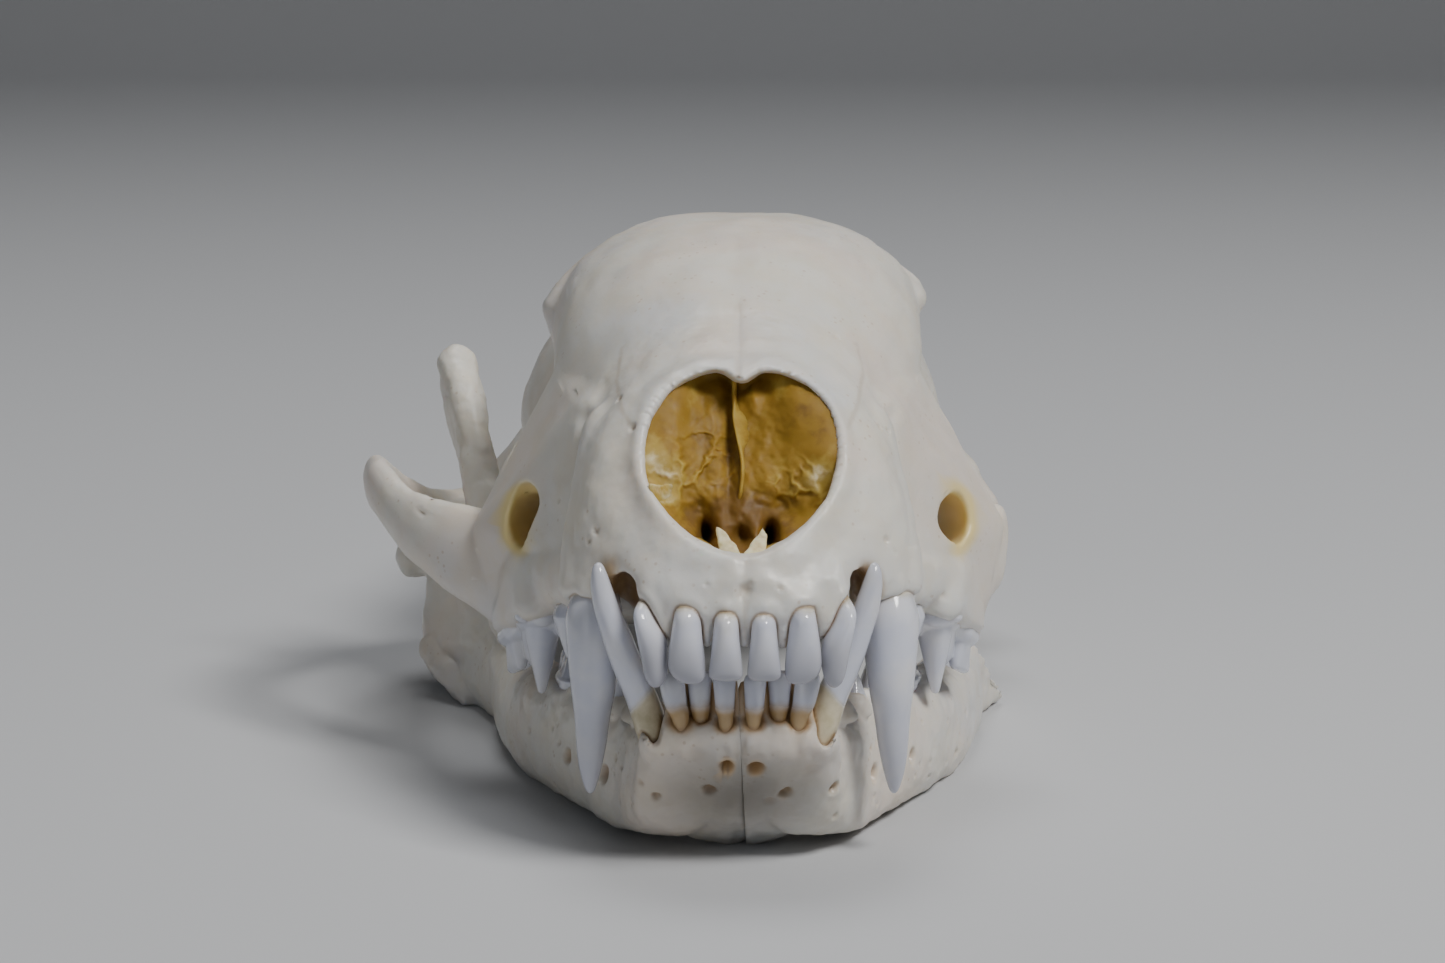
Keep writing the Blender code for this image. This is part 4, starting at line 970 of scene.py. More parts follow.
def make_jaw(name, sign):
    """One half of the lower jaw without its teeth; the left one has lost its upper ramus."""
    whole = sign < 0
    sections = JAW_SECTIONS if whole else JAW_SECTIONS[:-1]
    bm = skin_rings(bmesh.new(), [jaw_section(*row) for row in smooth_rows(sections, 5)])
    hull(bm, (0.4, 2.9, -6.9, 1.2), (0.4, 9.6, -12.2, 1.2), (4.0, 3.3, -6.9, 1.2),
         (2.2, 9.0, -11.9, 1.0), (0.4, 11.0, -9.0, 1.2), (0.4, 6.0, -11.0, 0.8))
    hull(bm, (3.85, 4.9, -7.5, 1.45, 1.8, 1.2), (3.95, 7.2, -10.0, 1.35, 2.0, 1.6))
    for x, y, top in ((0.18, 2.4, -5.80), (1.39, 2.5, -5.62), (2.48, 2.6, -5.85),
                      (3.70, 2.9, -5.55)):
        hull(bm, (x, y + 0.25, -6.5, 0.34, 0.5, 0.4), (x, y + 0.35, top, 0.12, 0.3, 0.12))
    for y, x in ((7.2, 4.9), (10.0, 5.9), (12.9, 6.8), (16.1, 8.2), (25.3, 11.2), (28.3, 12.2)):
        hull(bm, (x, y, -6.2, 1.5, 0.5, 0.4), (x, y, -5.35, 1.0, 0.25, 0.2))
    chain(bm, [(0.2, 2.95, -5.1, 0.36, 0.36, 1.3), (1.4, 3.35, -5.1, 0.36, 0.36, 1.3),
               (2.4, 3.55, -5.1, 0.36, 0.36, 1.3), (3.5, 3.35, -5.3, 0.40, 0.36, 1.2)])
    if whole:
        hull(bm, (13.4, 32.6, -4.4, 0.9), (16.2, 41.4, -2.0, 0.8), (15.5, 38.0, 4.6, 1.0),
             (16.5, 43.2, 4.6, 0.95))
        hull(bm, (15.5, 38.0, 4.6, 1.0), (16.5, 43.2, 4.6, 0.95), (17.1, 40.4, 10.4, 1.05),
             (17.5, 43.4, 10.0, 0.95), (17.7, 42.1, 12.1, 1.25))
        hull(bm, (14.8, 37.0, -5.0, 0.8), (16.6, 43.2, 3.0, 0.8), (18.8, 45.2, -1.8, 1.1),
             (19.0, 44.0, -5.4, 1.0))
        hull(bm, *((CONDYLE.x + dx, CONDYLE.y, CONDYLE.z, 0.8, CONDYLE_RADIUS, CONDYLE_RADIUS)
                   for dx in (-CONDYLE_HALF, CONDYLE_HALF)))
        hull(bm, (18.5, 44.8, -2.4, 1.0), (CONDYLE.x, CONDYLE.y - 0.4, CONDYLE.z - 0.4, 1.6, 1, 1))
        hull(bm, (19.2, 43.0, -6.0, 1.0), (18.8, 45.4, -7.4, 0.9), (16.8, 40.0, -8.6, 0.9))
    else:
        hull(bm, (13.4, 33.0, -6.0, 0.9), (14.8, 37.0, -7.0, 0.8), (15.5, 40.6, -7.7, 0.45),
             (14.0, 34.0, -8.8, 0.8))
    notches = socket_edges()
    if whole:
        mirror(bm)
        mirror(notches)
    bone = fuse(mesh_object(name, bm), JAW_VOXEL)
    cut(bone, fuse(mesh_object("notches", notches), JAW_VOXEL))
    if not whole:
        co = points_of(bone)
        co[:, 0] -= 0.2 * step(co[:, 1], 30.0, 38.0)
        place_points(bone, co)
        trim(bone, (BREAK[0], BREAK[1], BREAK[2] - BREAK_LOWER), BREAK_NORMAL)
    fuse(bone, JAW_VOXEL)
    soften(bone, 7, 0.75 * (1 - step(points_of(bone)[:, 1], 6.0, 12.0)))
    thin_out(bone, BONE_TRIANGLES)
    return bone


def detail_jaw(bone, s, teeth):
    """Hollows, holes, marks and flats of a jaw half; s is 1 for the left and -1 for the right."""
    tree = tree_of(bone)
    groove = mirrored([(0.1, 1.4, -6.2), (0.1, 2.6, -9.0), (0.1, 5.0, -11.6), (0.1, 9.0, -13.4)], s)
    strokes = [(((0.9, 1.9, -7.4), (1.2, 4.6, -11.0)), 0.6, -0.12),
               (((3.4, 2.2, -7.2), (3.0, 5.6, -11.2)), 1.1, -0.22),
               (((5.2, 3.6, -7.6), (5.0, 6.4, -11.0)), 0.5, 0.16),
               (((7.4, 12.0, -8.0), (12.6, 26.0, -7.4)), 1.0, -0.10),
               (((6.0, 8.0, -12.4), (12.0, 26.0, -11.2), (14.4, 35.0, -9.6)), 0.9, 0.14)]
    if s < 0:
        strokes += [(((16.4, 37.4, -3.4), (17.6, 41.0, -1.4), (18.0, 41.6, 2.6)), 2.2, -0.42),
                    (((14.6, 34.6, -5.6), (16.4, 37.2, 0.0), (17.0, 38.4, 6.0)), 0.7, 0.22),
                    (((15.0, 36.0, -8.4), (18.8, 43.0, -6.6)), 0.7, 0.20)]
    else:
        strokes += [(((15.2, 35.6, -7.4), (16.0, 39.4, -7.8)), 0.9, -0.22)]
    carve(bone, [(groove, 0.28, -0.22)] + [(mirrored(path, s), *rest) for path, *rest in strokes])
    roughen(bone, 3.4, 0.20)
    roughen(bone, 0.9, 0.05)
    if s > 0:
        off = (points_of(bone) - BREAK) @ BREAK_NORMAL / np.linalg.norm(BREAK_NORMAL) + 0.4
        roughen(bone, 0.8, 0.22, np.exp(-(off / 0.35) ** 2))
    co = points_of(bone)
    distance = tooth_distance(bone, teeth)
    swell(bone, 0.09 * np.exp(-((distance - 0.35) / 0.28) ** 2))
    if s < 0:
        chin = ((727, 767, 0.30, 0.8), (709, 792, 0.36, 0.5), (656, 798, 0.26, 0.4),
                (644, 780, 0.28, 0.5), (695, 755, 0.5, 0.10), (668, 806, 0.2, 0.3))
    else:
        chin = ((756, 769, 0.40, 0.9), (786, 794, 0.36, 0.5), (841, 768, 0.28, 0.4),
                (835, 788, 0.34, 0.55), (770, 800, 0.3, 0.14), (812, 770, 0.5, 0.10))
    places = [(p, r, d) for px, py, r, d in chin for p in on_face(tree, [(px, py)])]
    chance = random.Random(9 + s)
    for _ in range(26):
        start = (s * 40, chance.uniform(6, 34), chance.uniform(-12, -7))
        places += [(spot, chance.uniform(0.12, 0.22), chance.uniform(0.1, 0.2))
                   for spot in met(tree, start, (-s, 0, 0))]
    for start, side, radius, depth in (((s * 40, 10.2, -9.6), -s, 0.45, 0.7),
                                       ((s * 40, 14.6, -9.2), -s, 0.38, 0.7),
                                       ((0, 34.0, -6.4), s, 0.55, 0.6)):
        places += [(spot, radius, depth) for spot in met(tree, start, (side, 0, 0))]
    # Pits come out brown by their depth: painted shade, partly stain
    hollow_shade_and_stain = pit(bone, places)
    co = points_of(bone)
    amber = np.exp(-((distance - 0.05) / 0.24) ** 2) * (np.abs(co[:, 0]) < 4.2) * (co[:, 1] < 6)
    amber *= 0.12 + 0.88 * step(co[:, 2], -6.6, -6.1)
    behind = step(co[:, 2], -5.75, -5.35) * step(4.1 - abs(co[:, 0]), 0, 0.5)
    behind *= step(co[:, 1], 2.2, 2.7) * (co[:, 1] < 4.4)
    amber = np.maximum(amber, 0.9 * behind)
    hole = np.linalg.norm((co - np.array(places[0][0])) / (1, 2, 1.3), axis=1)
    amber = np.maximum(amber, 0.8 * (1 - step(hole, 0.25, 0.60)))
    trim(bone, (s * SUTURE, 0, -6), (-s, 0, -s * 0.05))
    level = Matrix.Rotation(PITCH, 3, "X")
    trim(bone, level @ Vector((0, 0, FLOOR)), level @ Vector((0, 0, -1)))
    # Painted shade: a soft patch on the front of the chin, which faces down and away from the
    # light; the material darkens it nearly to black
    painted_chin_shade = np.exp(-np.sum(((co - (0, 3.5, -10.0)) / (4.6, 6.0, 3.0)) ** 2, axis=1))
    mark_after(bone, co, {"hollow": hollow_shade_and_stain, "amber": amber, "painted_chin_shade": painted_chin_shade})
    co = points_of(bone)
    mark(bone, "nose", 0)
    mark(bone, "tooth", tooth_distance(bone, teeth) + 0.10 * step(co[:, 1], 7.0, 8.0))
    mark(bone, "seam", 1 - step(path_distance(co, groove), 0.08, 0.34))


def mark_after(obj, old, fields):
    """Carry numbers from an object's former vertices over to the ones that it has now."""
    tree = KDTree(len(old))
    for i, p in enumerate(old):
        tree.insert(p, i)
    tree.balance()
    index = np.array([tree.find(v.co)[1] for v in obj.data.vertices])
    for name, values in fields.items():
        mark(obj, name, np.asarray(values)[index])


# ---- teeth

# Front teeth from root to tip: X, Y, Z, half width, reach to the front and to the back, and
# squareness of the outline; first the angle by which the tooth turns outward
UPPER_INCISORS = (
    (0, ((0.98, 1.75, 2.5, 0.40, 0.40, 0.45, 2.0), (0.98, 1.35, 1.4, 0.46, 0.46, 0.55, 2.0),
         (0.97, 0.58, 0.6, 0.52, 0.54, 0.66, 2.0), (0.97, 0.03, 0.1, 0.57, 0.70, 0.74, 2.0),
         (0.97, -0.22, -0.4, 0.63, 0.94, 0.80, 2.0), (0.98, -0.23, -1.3, 0.70, 0.90, 0.85, 2.05),
         (0.98, -0.23, -2.2, 0.80, 0.72, 0.80, 2.15), (0.99, -0.22, -2.9, 0.875, 0.54, 0.62, 2.3),
         (0.99, -0.20, -3.2, 0.83, 0.40, 0.46, 2.3), (0.98, -0.18, -3.37, 0.62, 0.24, 0.28, 2.15),
         (0.97, -0.16, -3.44, 0.30, 0.10, 0.12, 2.0))),
    (10, ((2.97, 2.10, 3.0, 0.44, 0.42, 0.48, 2.0), (2.97, 1.75, 1.8, 0.50, 0.48, 0.56, 2.0),
          (2.96, 0.88, 0.95, 0.56, 0.56, 0.68, 2.0), (2.95, 0.27, 0.4, 0.62, 0.72, 0.76, 2.0),
          (2.97, 0.04, -0.2, 0.70, 0.96, 0.84, 2.0), (3.02, 0.04, -1.2, 0.82, 0.90, 0.88, 2.05),
          (3.02, 0.04, -2.2, 0.94, 0.72, 0.82, 2.2), (2.99, 0.05, -2.8, 0.95, 0.58, 0.64, 2.25),
          (2.90, 0.06, -3.2, 0.84, 0.43, 0.48, 2.2), (2.80, 0.07, -3.48, 0.58, 0.25, 0.28, 2.1),
          (2.74, 0.08, -3.6, 0.26, 0.10, 0.12, 2.0))),
    (26, ((4.10, 3.6, 3.2, 0.42, 0.45, 0.50, 2.0), (4.25, 2.9, 2.2, 0.42, 0.48, 0.55, 2.0),
          (4.60, 2.1, 1.3, 0.42, 0.55, 0.62, 2.0), (5.05, 1.25, 0.6, 0.40, 0.66, 0.72, 2.0),
          (5.16, 0.86, 0.1, 0.48, 0.86, 0.84, 2.0), (5.05, 0.74, -0.45, 0.56, 1.0, 0.92, 2.0),
          (4.78, 0.70, -1.4, 0.71, 0.98, 0.92, 2.0), (4.64, 0.74, -2.4, 0.67, 0.84, 0.84, 2.0),
          (4.62, 0.78, -3.1, 0.57, 0.68, 0.66, 2.0), (4.62, 0.82, -3.55, 0.42, 0.48, 0.46, 2.0),
          (4.62, 0.84, -3.8, 0.22, 0.24, 0.24, 2.0), (4.62, 0.85, -3.87, 0.08, 0.10, 0.10, 2.0))),
)
LOWER_INCISORS = (
    (0, ((0.70, 2.70, -7.6, 0.30, 0.40, 0.42, 2.0), (0.71, 2.50, -6.6, 0.34, 0.44, 0.46, 2.0),
         (0.72, 2.34, -6.0, 0.38, 0.46, 0.48, 2.0), (0.74, 2.26, -5.5, 0.42, 0.48, 0.50, 2.0),
         (0.77, 2.20, -5.2, 0.50, 0.57, 0.53, 2.0), (0.78, 2.20, -4.8, 0.52, 0.57, 0.53, 2.1),
         (0.79, 2.18, -4.2, 0.56, 0.52, 0.50, 2.2), (0.80, 2.17, -3.7, 0.59, 0.42, 0.40, 2.3),
         (0.80, 2.18, -3.42, 0.51, 0.28, 0.28, 2.2), (0.80, 2.20, -3.3, 0.33, 0.14, 0.14, 2.0))),
    (8, ((2.00, 3.40, -7.6, 0.32, 0.42, 0.44, 2.0), (2.01, 3.20, -6.6, 0.37, 0.46, 0.48, 2.0),
         (2.03, 3.05, -6.0, 0.42, 0.48, 0.50, 2.0), (2.05, 2.98, -5.5, 0.46, 0.50, 0.52, 2.0),
         (2.07, 2.92, -5.15, 0.53, 0.60, 0.55, 2.0), (2.08, 2.92, -4.7, 0.56, 0.60, 0.55, 2.1),
         (2.09, 2.90, -4.1, 0.61, 0.55, 0.52, 2.2), (2.09, 2.90, -3.6, 0.64, 0.44, 0.42, 2.3),
         (2.09, 2.90, -3.3, 0.55, 0.30, 0.30, 2.2), (2.09, 2.92, -3.2, 0.35, 0.15, 0.15, 2.0))),
    (18, ((2.85, 3.05, -7.4, 0.34, 0.45, 0.45, 2.0), (2.95, 2.80, -6.5, 0.38, 0.50, 0.50, 2.0),
          (3.05, 2.65, -6.0, 0.41, 0.52, 0.52, 2.0), (3.12, 2.58, -5.6, 0.46, 0.56, 0.56, 2.0),
          (3.22, 2.52, -5.3, 0.53, 0.64, 0.60, 2.0), (3.35, 2.50, -4.9, 0.59, 0.64, 0.60, 2.1),
          (3.48, 2.48, -4.2, 0.65, 0.58, 0.56, 2.2), (3.55, 2.48, -3.7, 0.67, 0.48, 0.46, 2.2),
          (3.58, 2.50, -3.4, 0.56, 0.34, 0.34, 2.1), (3.58, 2.52, -3.25, 0.36, 0.18, 0.18, 2.0))),
)

# Canines from root to tip: X, Y, Z, half width and half depth
UPPER_CANINE = (
    (7.3, 9.4, 6.4, 0.9, 1.1),
    (7.55, 7.6, 3.6, 1.20, 1.5),
    (7.72, 6.6, 1.5, 1.26, 1.65),
    (7.80, 6.1, 0.5, 1.30, 1.70),
    (7.86, 5.8, -0.5, 1.50, 1.78),
    (7.88, 5.65, -1.6, 1.47, 1.74),
    (7.89, 5.62, -3.2, 1.34, 1.58),
    (7.92, 5.7, -4.6, 1.17, 1.38),
    (7.98, 5.9, -6.0, 0.96, 1.15),
    (8.04, 6.15, -7.4, 0.82, 0.96),
    (8.10, 6.4, -8.6, 0.64, 0.74),
    (8.12, 6.6, -9.5, 0.42, 0.48),
    (8.12, 6.7, -10.0, 0.24, 0.27),
    (8.12, 6.74, -10.18, 0.09, 0.10),
)
LOWER_CANINE = (
    (3.9, 5.8, -9.4, 0.66, 0.9),
    (4.25, 4.5, -7.6, 0.72, 1.12),
    (4.5, 4.1, -6.4, 0.86, 1.22),
    (4.85, 4.1, -5.1, 0.90, 1.24),
    (5.32, 3.7, -3.9, 0.88, 1.18),
    (5.84, 3.3, -2.6, 0.85, 1.10),
    (6.27, 3.0, -1.35, 0.80, 1.00),
    (6.7, 2.75, -0.1, 0.72, 0.88),
    (7.03, 2.6, 1.1, 0.58, 0.70),
    (7.16, 2.5, 1.9, 0.42, 0.50),
    (7.2, 2.5, 2.35, 0.25, 0.30),
    (7.2, 2.5, 2.5, 0.08, 0.10),
)

# Cheek teeth: kind, gum X, Y and Z, length along the row, width, crown height
UPPER_CHEEK = (
    ("premolar", 8.5, 9.3, -0.4, 2.5, 1.6, 2.0),
    ("premolar", 9.3, 12.3, -0.9, 3.5, 1.9, 2.6),
    ("blade", 11.9, 17.5, -1.5, 6.8, 2.4, 4.2),
    ("molar", 10.1, 24.0, -2.2, 5.8, 6.2, 1.9),
)
LOWER_CHEEK = (
    ("premolar", 5.5, 8.6, -6.1, 2.0, 1.3, 1.4),
    ("premolar", 6.3, 11.2, -5.9, 2.6, 1.5, 1.9),
    ("premolar", 7.4, 14.4, -5.7, 3.2, 1.7, 2.3),
    ("carnassial", 9.3, 20.6, -5.6, 8.8, 2.4, 2.9),
    ("premolar", 11.8, 26.9, -5.5, 2.6, 2.2, 0.8),
)


# How high the gum reached on the incisors and the canine
UPPER_GUM = (0.1, 0.35, 0.6, 0.7)
LOWER_GUM = (-5.15,) * 4


def oval(x, y, z, across, front, back, power, turn=0.0):
    """One level of a front tooth, with its own reach to the front and to the back."""
    ring = []
    for c, s in turns(36):
        side = across * bulge(c, 2 / power)
        along = (back if s >= 0 else front) * bulge(s, 2 / power)
        ring.append((x + side * math.cos(turn) - along * math.sin(turn),
                     y + side * math.sin(turn) + along * math.cos(turn), z))
    return ring


def front_tooth(turn, rows):
    """An incisor through its levels."""
    return skin_rings(bmesh.new(), [oval(*row, math.radians(turn))
                                    for row in smooth_rows(rows, 4)])


def eye_tooth(rows):
    """A canine through its levels."""
    return skin_rings(bmesh.new(), [oval(*row, row[4] * 0.95, 2.05)
                                    for row in smooth_rows(rows, 5)])


def cheek_tooth(kind, x, y, z, length, width, tall, up):
    """A cheek tooth: a low swollen base with one to four cusps, on two roots."""
    bm = bmesh.new()
    half, side, base = length / 2, width / 2, up * tall * 0.1

    def placed(*blobs):
        """Blobs given from the middle of the tooth's gum line."""
        return [(x + dx, y + dy, z + dz, *size) for dx, dy, dz, *size in blobs]

    for dy in (-0.5, 0.5):
        hull(bm, *placed((0, dy * half, 0, side * 0.55, half * 0.36, 0.4),
                         (-0.2, dy * half, -up * 2.4, side * 0.4, half * 0.28, 0.3)))
    if kind == "premolar":
        parts = (((0, 0, -up * 0.25, side * 0.8, half * 0.85, 0.3), (0, 0, base, side, half, 0.42),
                  (0, -0.1 * length, up * (tall - 0.2), 0.2)),
                 ((0, 0, base, side * 0.9, half, 0.3), (0, 0.36 * length, up * tall * 0.3, 0.25)))
    elif kind == "blade":
        parts = (((-0.9, -1.1, 0.2, 0.9, 1.8, 0.5), (-0.9, -1.0, -1.0, 1.0, 1.6, 0.5),
                  (-0.87, -0.9, -2.7, 0.62, 0.8, 0.4), (-0.85, -0.8, -tall, 0.26)),
                 ((0.7, 2.1, 0.1, 0.7, 1.5, 0.5), (0.6, 2.1, -1.0, 0.8, 1.5, 0.5),
                  (0.4, 1.3, -3.0, 0.32), (1.0, 3.0, -3.4, 0.34)),
                 ((-0.5, -0.3, -0.7, 0.9, 1.6, 0.5), (-0.1, 0.9, -2.4, 0.35),
                  (-0.6, -0.5, -2.8, 0.35)),
                 ((-2.3, -2.1, -0.3, 1.1, 1.1, 0.45), (-2.6, -1.9, -1.5, 0.3)),
                 ((-1.6, -1.8, -0.3, 1.3, 1.2, 0.45), (-0.6, -1.2, -0.6, 0.8, 1.2, 0.45)))
        chain(bm, placed((-1.0, -2.9, 0.1, 0.7, 0.7, 0.6), (-0.2, -1.0, -0.2, 0.86, 1, 0.75),
                         (0.1, 0.2, -0.4, 0.70, 1, 0.7), (0.7, 1.4, -1.1, 0.80, 1, 0.75),
                         (1.2, 2.9, -1.6, 0.7, 0.8, 0.6)))
    elif kind == "carnassial":
        front, blade, heel = -0.3 * length, -0.02 * length, 0.32 * length
        parts = (((0, 0, -up * 0.3, side * 0.75, half * 0.9, 0.3), (0, 0, base, side, half, 0.45)),
                 ((-0.1, front, 0, side * 0.8, 1.6, 0.5),
                  (0, front, up * (tall * 0.75 - 0.3), 0.25),
                  (0, blade, 0, side * 0.9, 1.4, 0.5), (0, blade, up * tall * 0.6, 0.25)),
                 ((0, blade, 0, side * 0.9, 1.5, 0.5), (0, blade, up * (tall - 0.25), 0.25),
                  (0, heel - 0.6, 0, side, 1.0, 0.5)),
                 ((0.5, heel, 0, 0.7, 1.4, 0.4), (0.7, heel, up * tall * 0.45, 0.25, 0.8, 0.2)),
                 ((-0.6, heel, 0, 0.6, 1.4, 0.4), (-0.8, heel, up * tall * 0.4, 0.2, 0.8, 0.2)))
    else:
        parts = [((0, 0, -up * 0.3, side * 0.85, half * 0.8, 0.3), (0.5, 0, base, side, half, 0.4),
                  (-1.0, 0.3, base, side, half, 0.35))]
        parts += [((dx, dy, 0, 1.1, 1.2, 0.5), (dx, dy, up * (tall - 0.3), 0.25))
                  for dx, dy in ((1.7, -1.3), (1.9, 1.2), (-1.6, -0.4))]
        chain(bm, placed((-1.0, 2.0, up * 0.5, 0.35), (-2.6, 1.6, up * 0.7, 0.35),
                         (-3.1, 0.2, up * 0.75, 0.35), (-2.6, -1.4, up * 0.6, 0.3)))
    for part in parts:
        hull(bm, *placed(*part))
    return bm


def tooth_row(sign, upper):
    """All teeth of one side of one jaw as separate closed objects."""
    chance = random.Random(7 if sign > 0 else 11)
    up = -1 if upper else 1
    incisors, canine, cheek = ((UPPER_INCISORS, UPPER_CANINE, UPPER_CHEEK) if upper else
                               (LOWER_INCISORS, LOWER_CANINE, LOWER_CHEEK))
    shapes = []
    for turn, rows in incisors:
        size = 1 + chance.uniform(-0.02, 0.02)
        shapes.append(front_tooth(turn, [(x, y, z, half * size, *rest)
                                         for x, y, z, half, *rest in rows]))
    shapes.append(eye_tooth(canine))
    shapes += [cheek_tooth(*row, up) for row in cheek]
    gums = (UPPER_GUM if upper else LOWER_GUM) + tuple(row[3] - up * 0.7 for row in cheek)
    shifts = ([INCISOR_SHIFT] * 3 + [CANINE_SHIFT] if upper else [0] * 3 + [LOWER_CANINE_SHIFT])
    teeth = []
    for i, (bm, gum) in enumerate(zip(shapes, gums)):
        if sign < 0:
            mirror(bm)
        if i < 4:
            bmesh.ops.translate(bm, vec=(shifts[i], 0, 0), verts=bm.verts)
        tooth = mesh_object("tooth", bm)
        if i > 3:
            fuse(tooth, TOOTH_VOXEL)
            soften(tooth, 4)
            thin_out(tooth, TOOTH_TRIANGLES)
        co = points_of(tooth)
        reach = (co[:, 2] - gum) * up
        slant = (np.abs(co[:, 0]) - 5.4) * 1.1 if i == 3 and not upper else 0.0
        mark(tooth, "from_gum", reach + slant)
        mark(tooth, "amber", 0.9 if i < 3 and not upper else 0.06)
        # Darker towards the tips: on the incisors partly translucent enamel and partly painted
        # shade, on the canines painted shade
        edge = step(reach, 0.8, 3.5) if i < 3 else 0.55 * step(reach, 3, 10) * (i == 3)
        mark(tooth, "edge", edge)
        teeth.append(tooth)
    return teeth


# ---- materials


class Finish:
    """A material in the making: its nodes are added in a line and wired as they are made."""

    def __init__(self, name):
        self.material = bpy.data.materials.new(name)
        self.material.use_nodes = True
        self.tree = self.material.node_tree
        self.shader = self.tree.nodes["Principled BSDF"]
        self.place = self.tree.nodes.new("ShaderNodeTexCoord").outputs["Object"]

    def node(self, kind, **values):
        """A new node with these settings."""
        made = self.tree.nodes.new(kind)
        for key, value in values.items():
            setattr(made, key, value)
        return made

    def put(self, value, socket):
        """Wire an output to a socket, or set the socket to a number or colour."""
        if isinstance(value, bpy.types.NodeSocket):
            self.tree.links.new(value, socket)
        elif isinstance(value, tuple):
            socket.default_value = (*value, 1)
        else:
            socket.default_value = value

    def noise(self, size, detail=4.0, rough=0.55, stretch=None):
        """Noise with features of a size in millimetres, 0 to 1."""
        made = self.node("ShaderNodeTexNoise")
        self.put(1000.0 / size, made.inputs["Scale"])
        self.put(detail, made.inputs["Detail"])
        self.put(rough, made.inputs["Roughness"])
        place = self.place
        if stretch:
            turn = self.node("ShaderNodeMapping")
            turn.inputs["Scale"].default_value = stretch
            self.put(place, turn.inputs["Vector"])
            place = turn.outputs["Vector"]
        self.put(place, made.inputs["Vector"])
        return made.outputs["Fac"]

    def cells(self, size, feature="F1"):
        """Distance to the middle or the border of random cells of a size in millimetres."""
        made = self.node("ShaderNodeTexVoronoi", feature=feature)
        self.put(1000.0 / size, made.inputs["Scale"])
        self.put(self.place, made.inputs["Vector"])
        return made.outputs["Distance"]

    def read(self, name):
        """A number stored on the mesh."""
        return self.node("ShaderNodeAttribute", attribute_name=name).outputs["Fac"]

    def ramp(self, source, low, high, to_low=0.0, to_high=1.0):
        """Smooth change of a value as another goes from low to high."""
        made = self.node("ShaderNodeMapRange", interpolation_type="SMOOTHSTEP")
        self.put(source, made.inputs["Value"])
        for key, value in (("From Min", low), ("From Max", high),
                           ("To Min", to_low), ("To Max", to_high)):
            self.put(value, made.inputs[key])
        return made.outputs["Result"]

    def math(self, kind, first, second):
        """The outcome of a sum or product."""
        made = self.node("ShaderNodeMath", operation=kind)
        self.put(first, made.inputs[0])
        self.put(second, made.inputs[1])
        return made.outputs["Value"]

    def tint(self, base, colour, share, strength=None):
        """Mix a colour over a base, by a share from 0 to 1 that a strength may lower."""
        if strength is not None:
            share = self.math("MULTIPLY", share, strength)
        made = self.node("ShaderNodeMix", data_type="RGBA")
        self.put(share, made.inputs[0])
        self.put(base, made.inputs[6])
        self.put(colour, made.inputs[7])
        return made.outputs[2]

    def bump(self, height, strength, distance, under=None):
        """Fine relief of a distance in millimetres, over another if one is given."""
        made = self.node("ShaderNodeBump")
        self.put(strength, made.inputs["Strength"])
        self.put(distance * MM, made.inputs["Distance"])
        self.put(height, made.inputs["Height"])
        if under is not None:
            self.put(under, made.inputs["Normal"])
        return made.outputs["Normal"]

    def done(self, colour, rough, normal, glow, **sockets):
        """The finished material; glow is how far red, green and blue spread below the surface."""
        self.shader.subsurface_method = "RANDOM_WALK"
        self.shader.inputs["Subsurface Radius"].default_value = glow
        self.put(colour, self.shader.inputs["Base Color"])
        self.put(rough, self.shader.inputs["Roughness"])
        self.put(normal, self.shader.inputs["Normal"])
        for key, value in sockets.items():
            self.put(value, self.shader.inputs[key.replace("_", " ")])
        return self.material


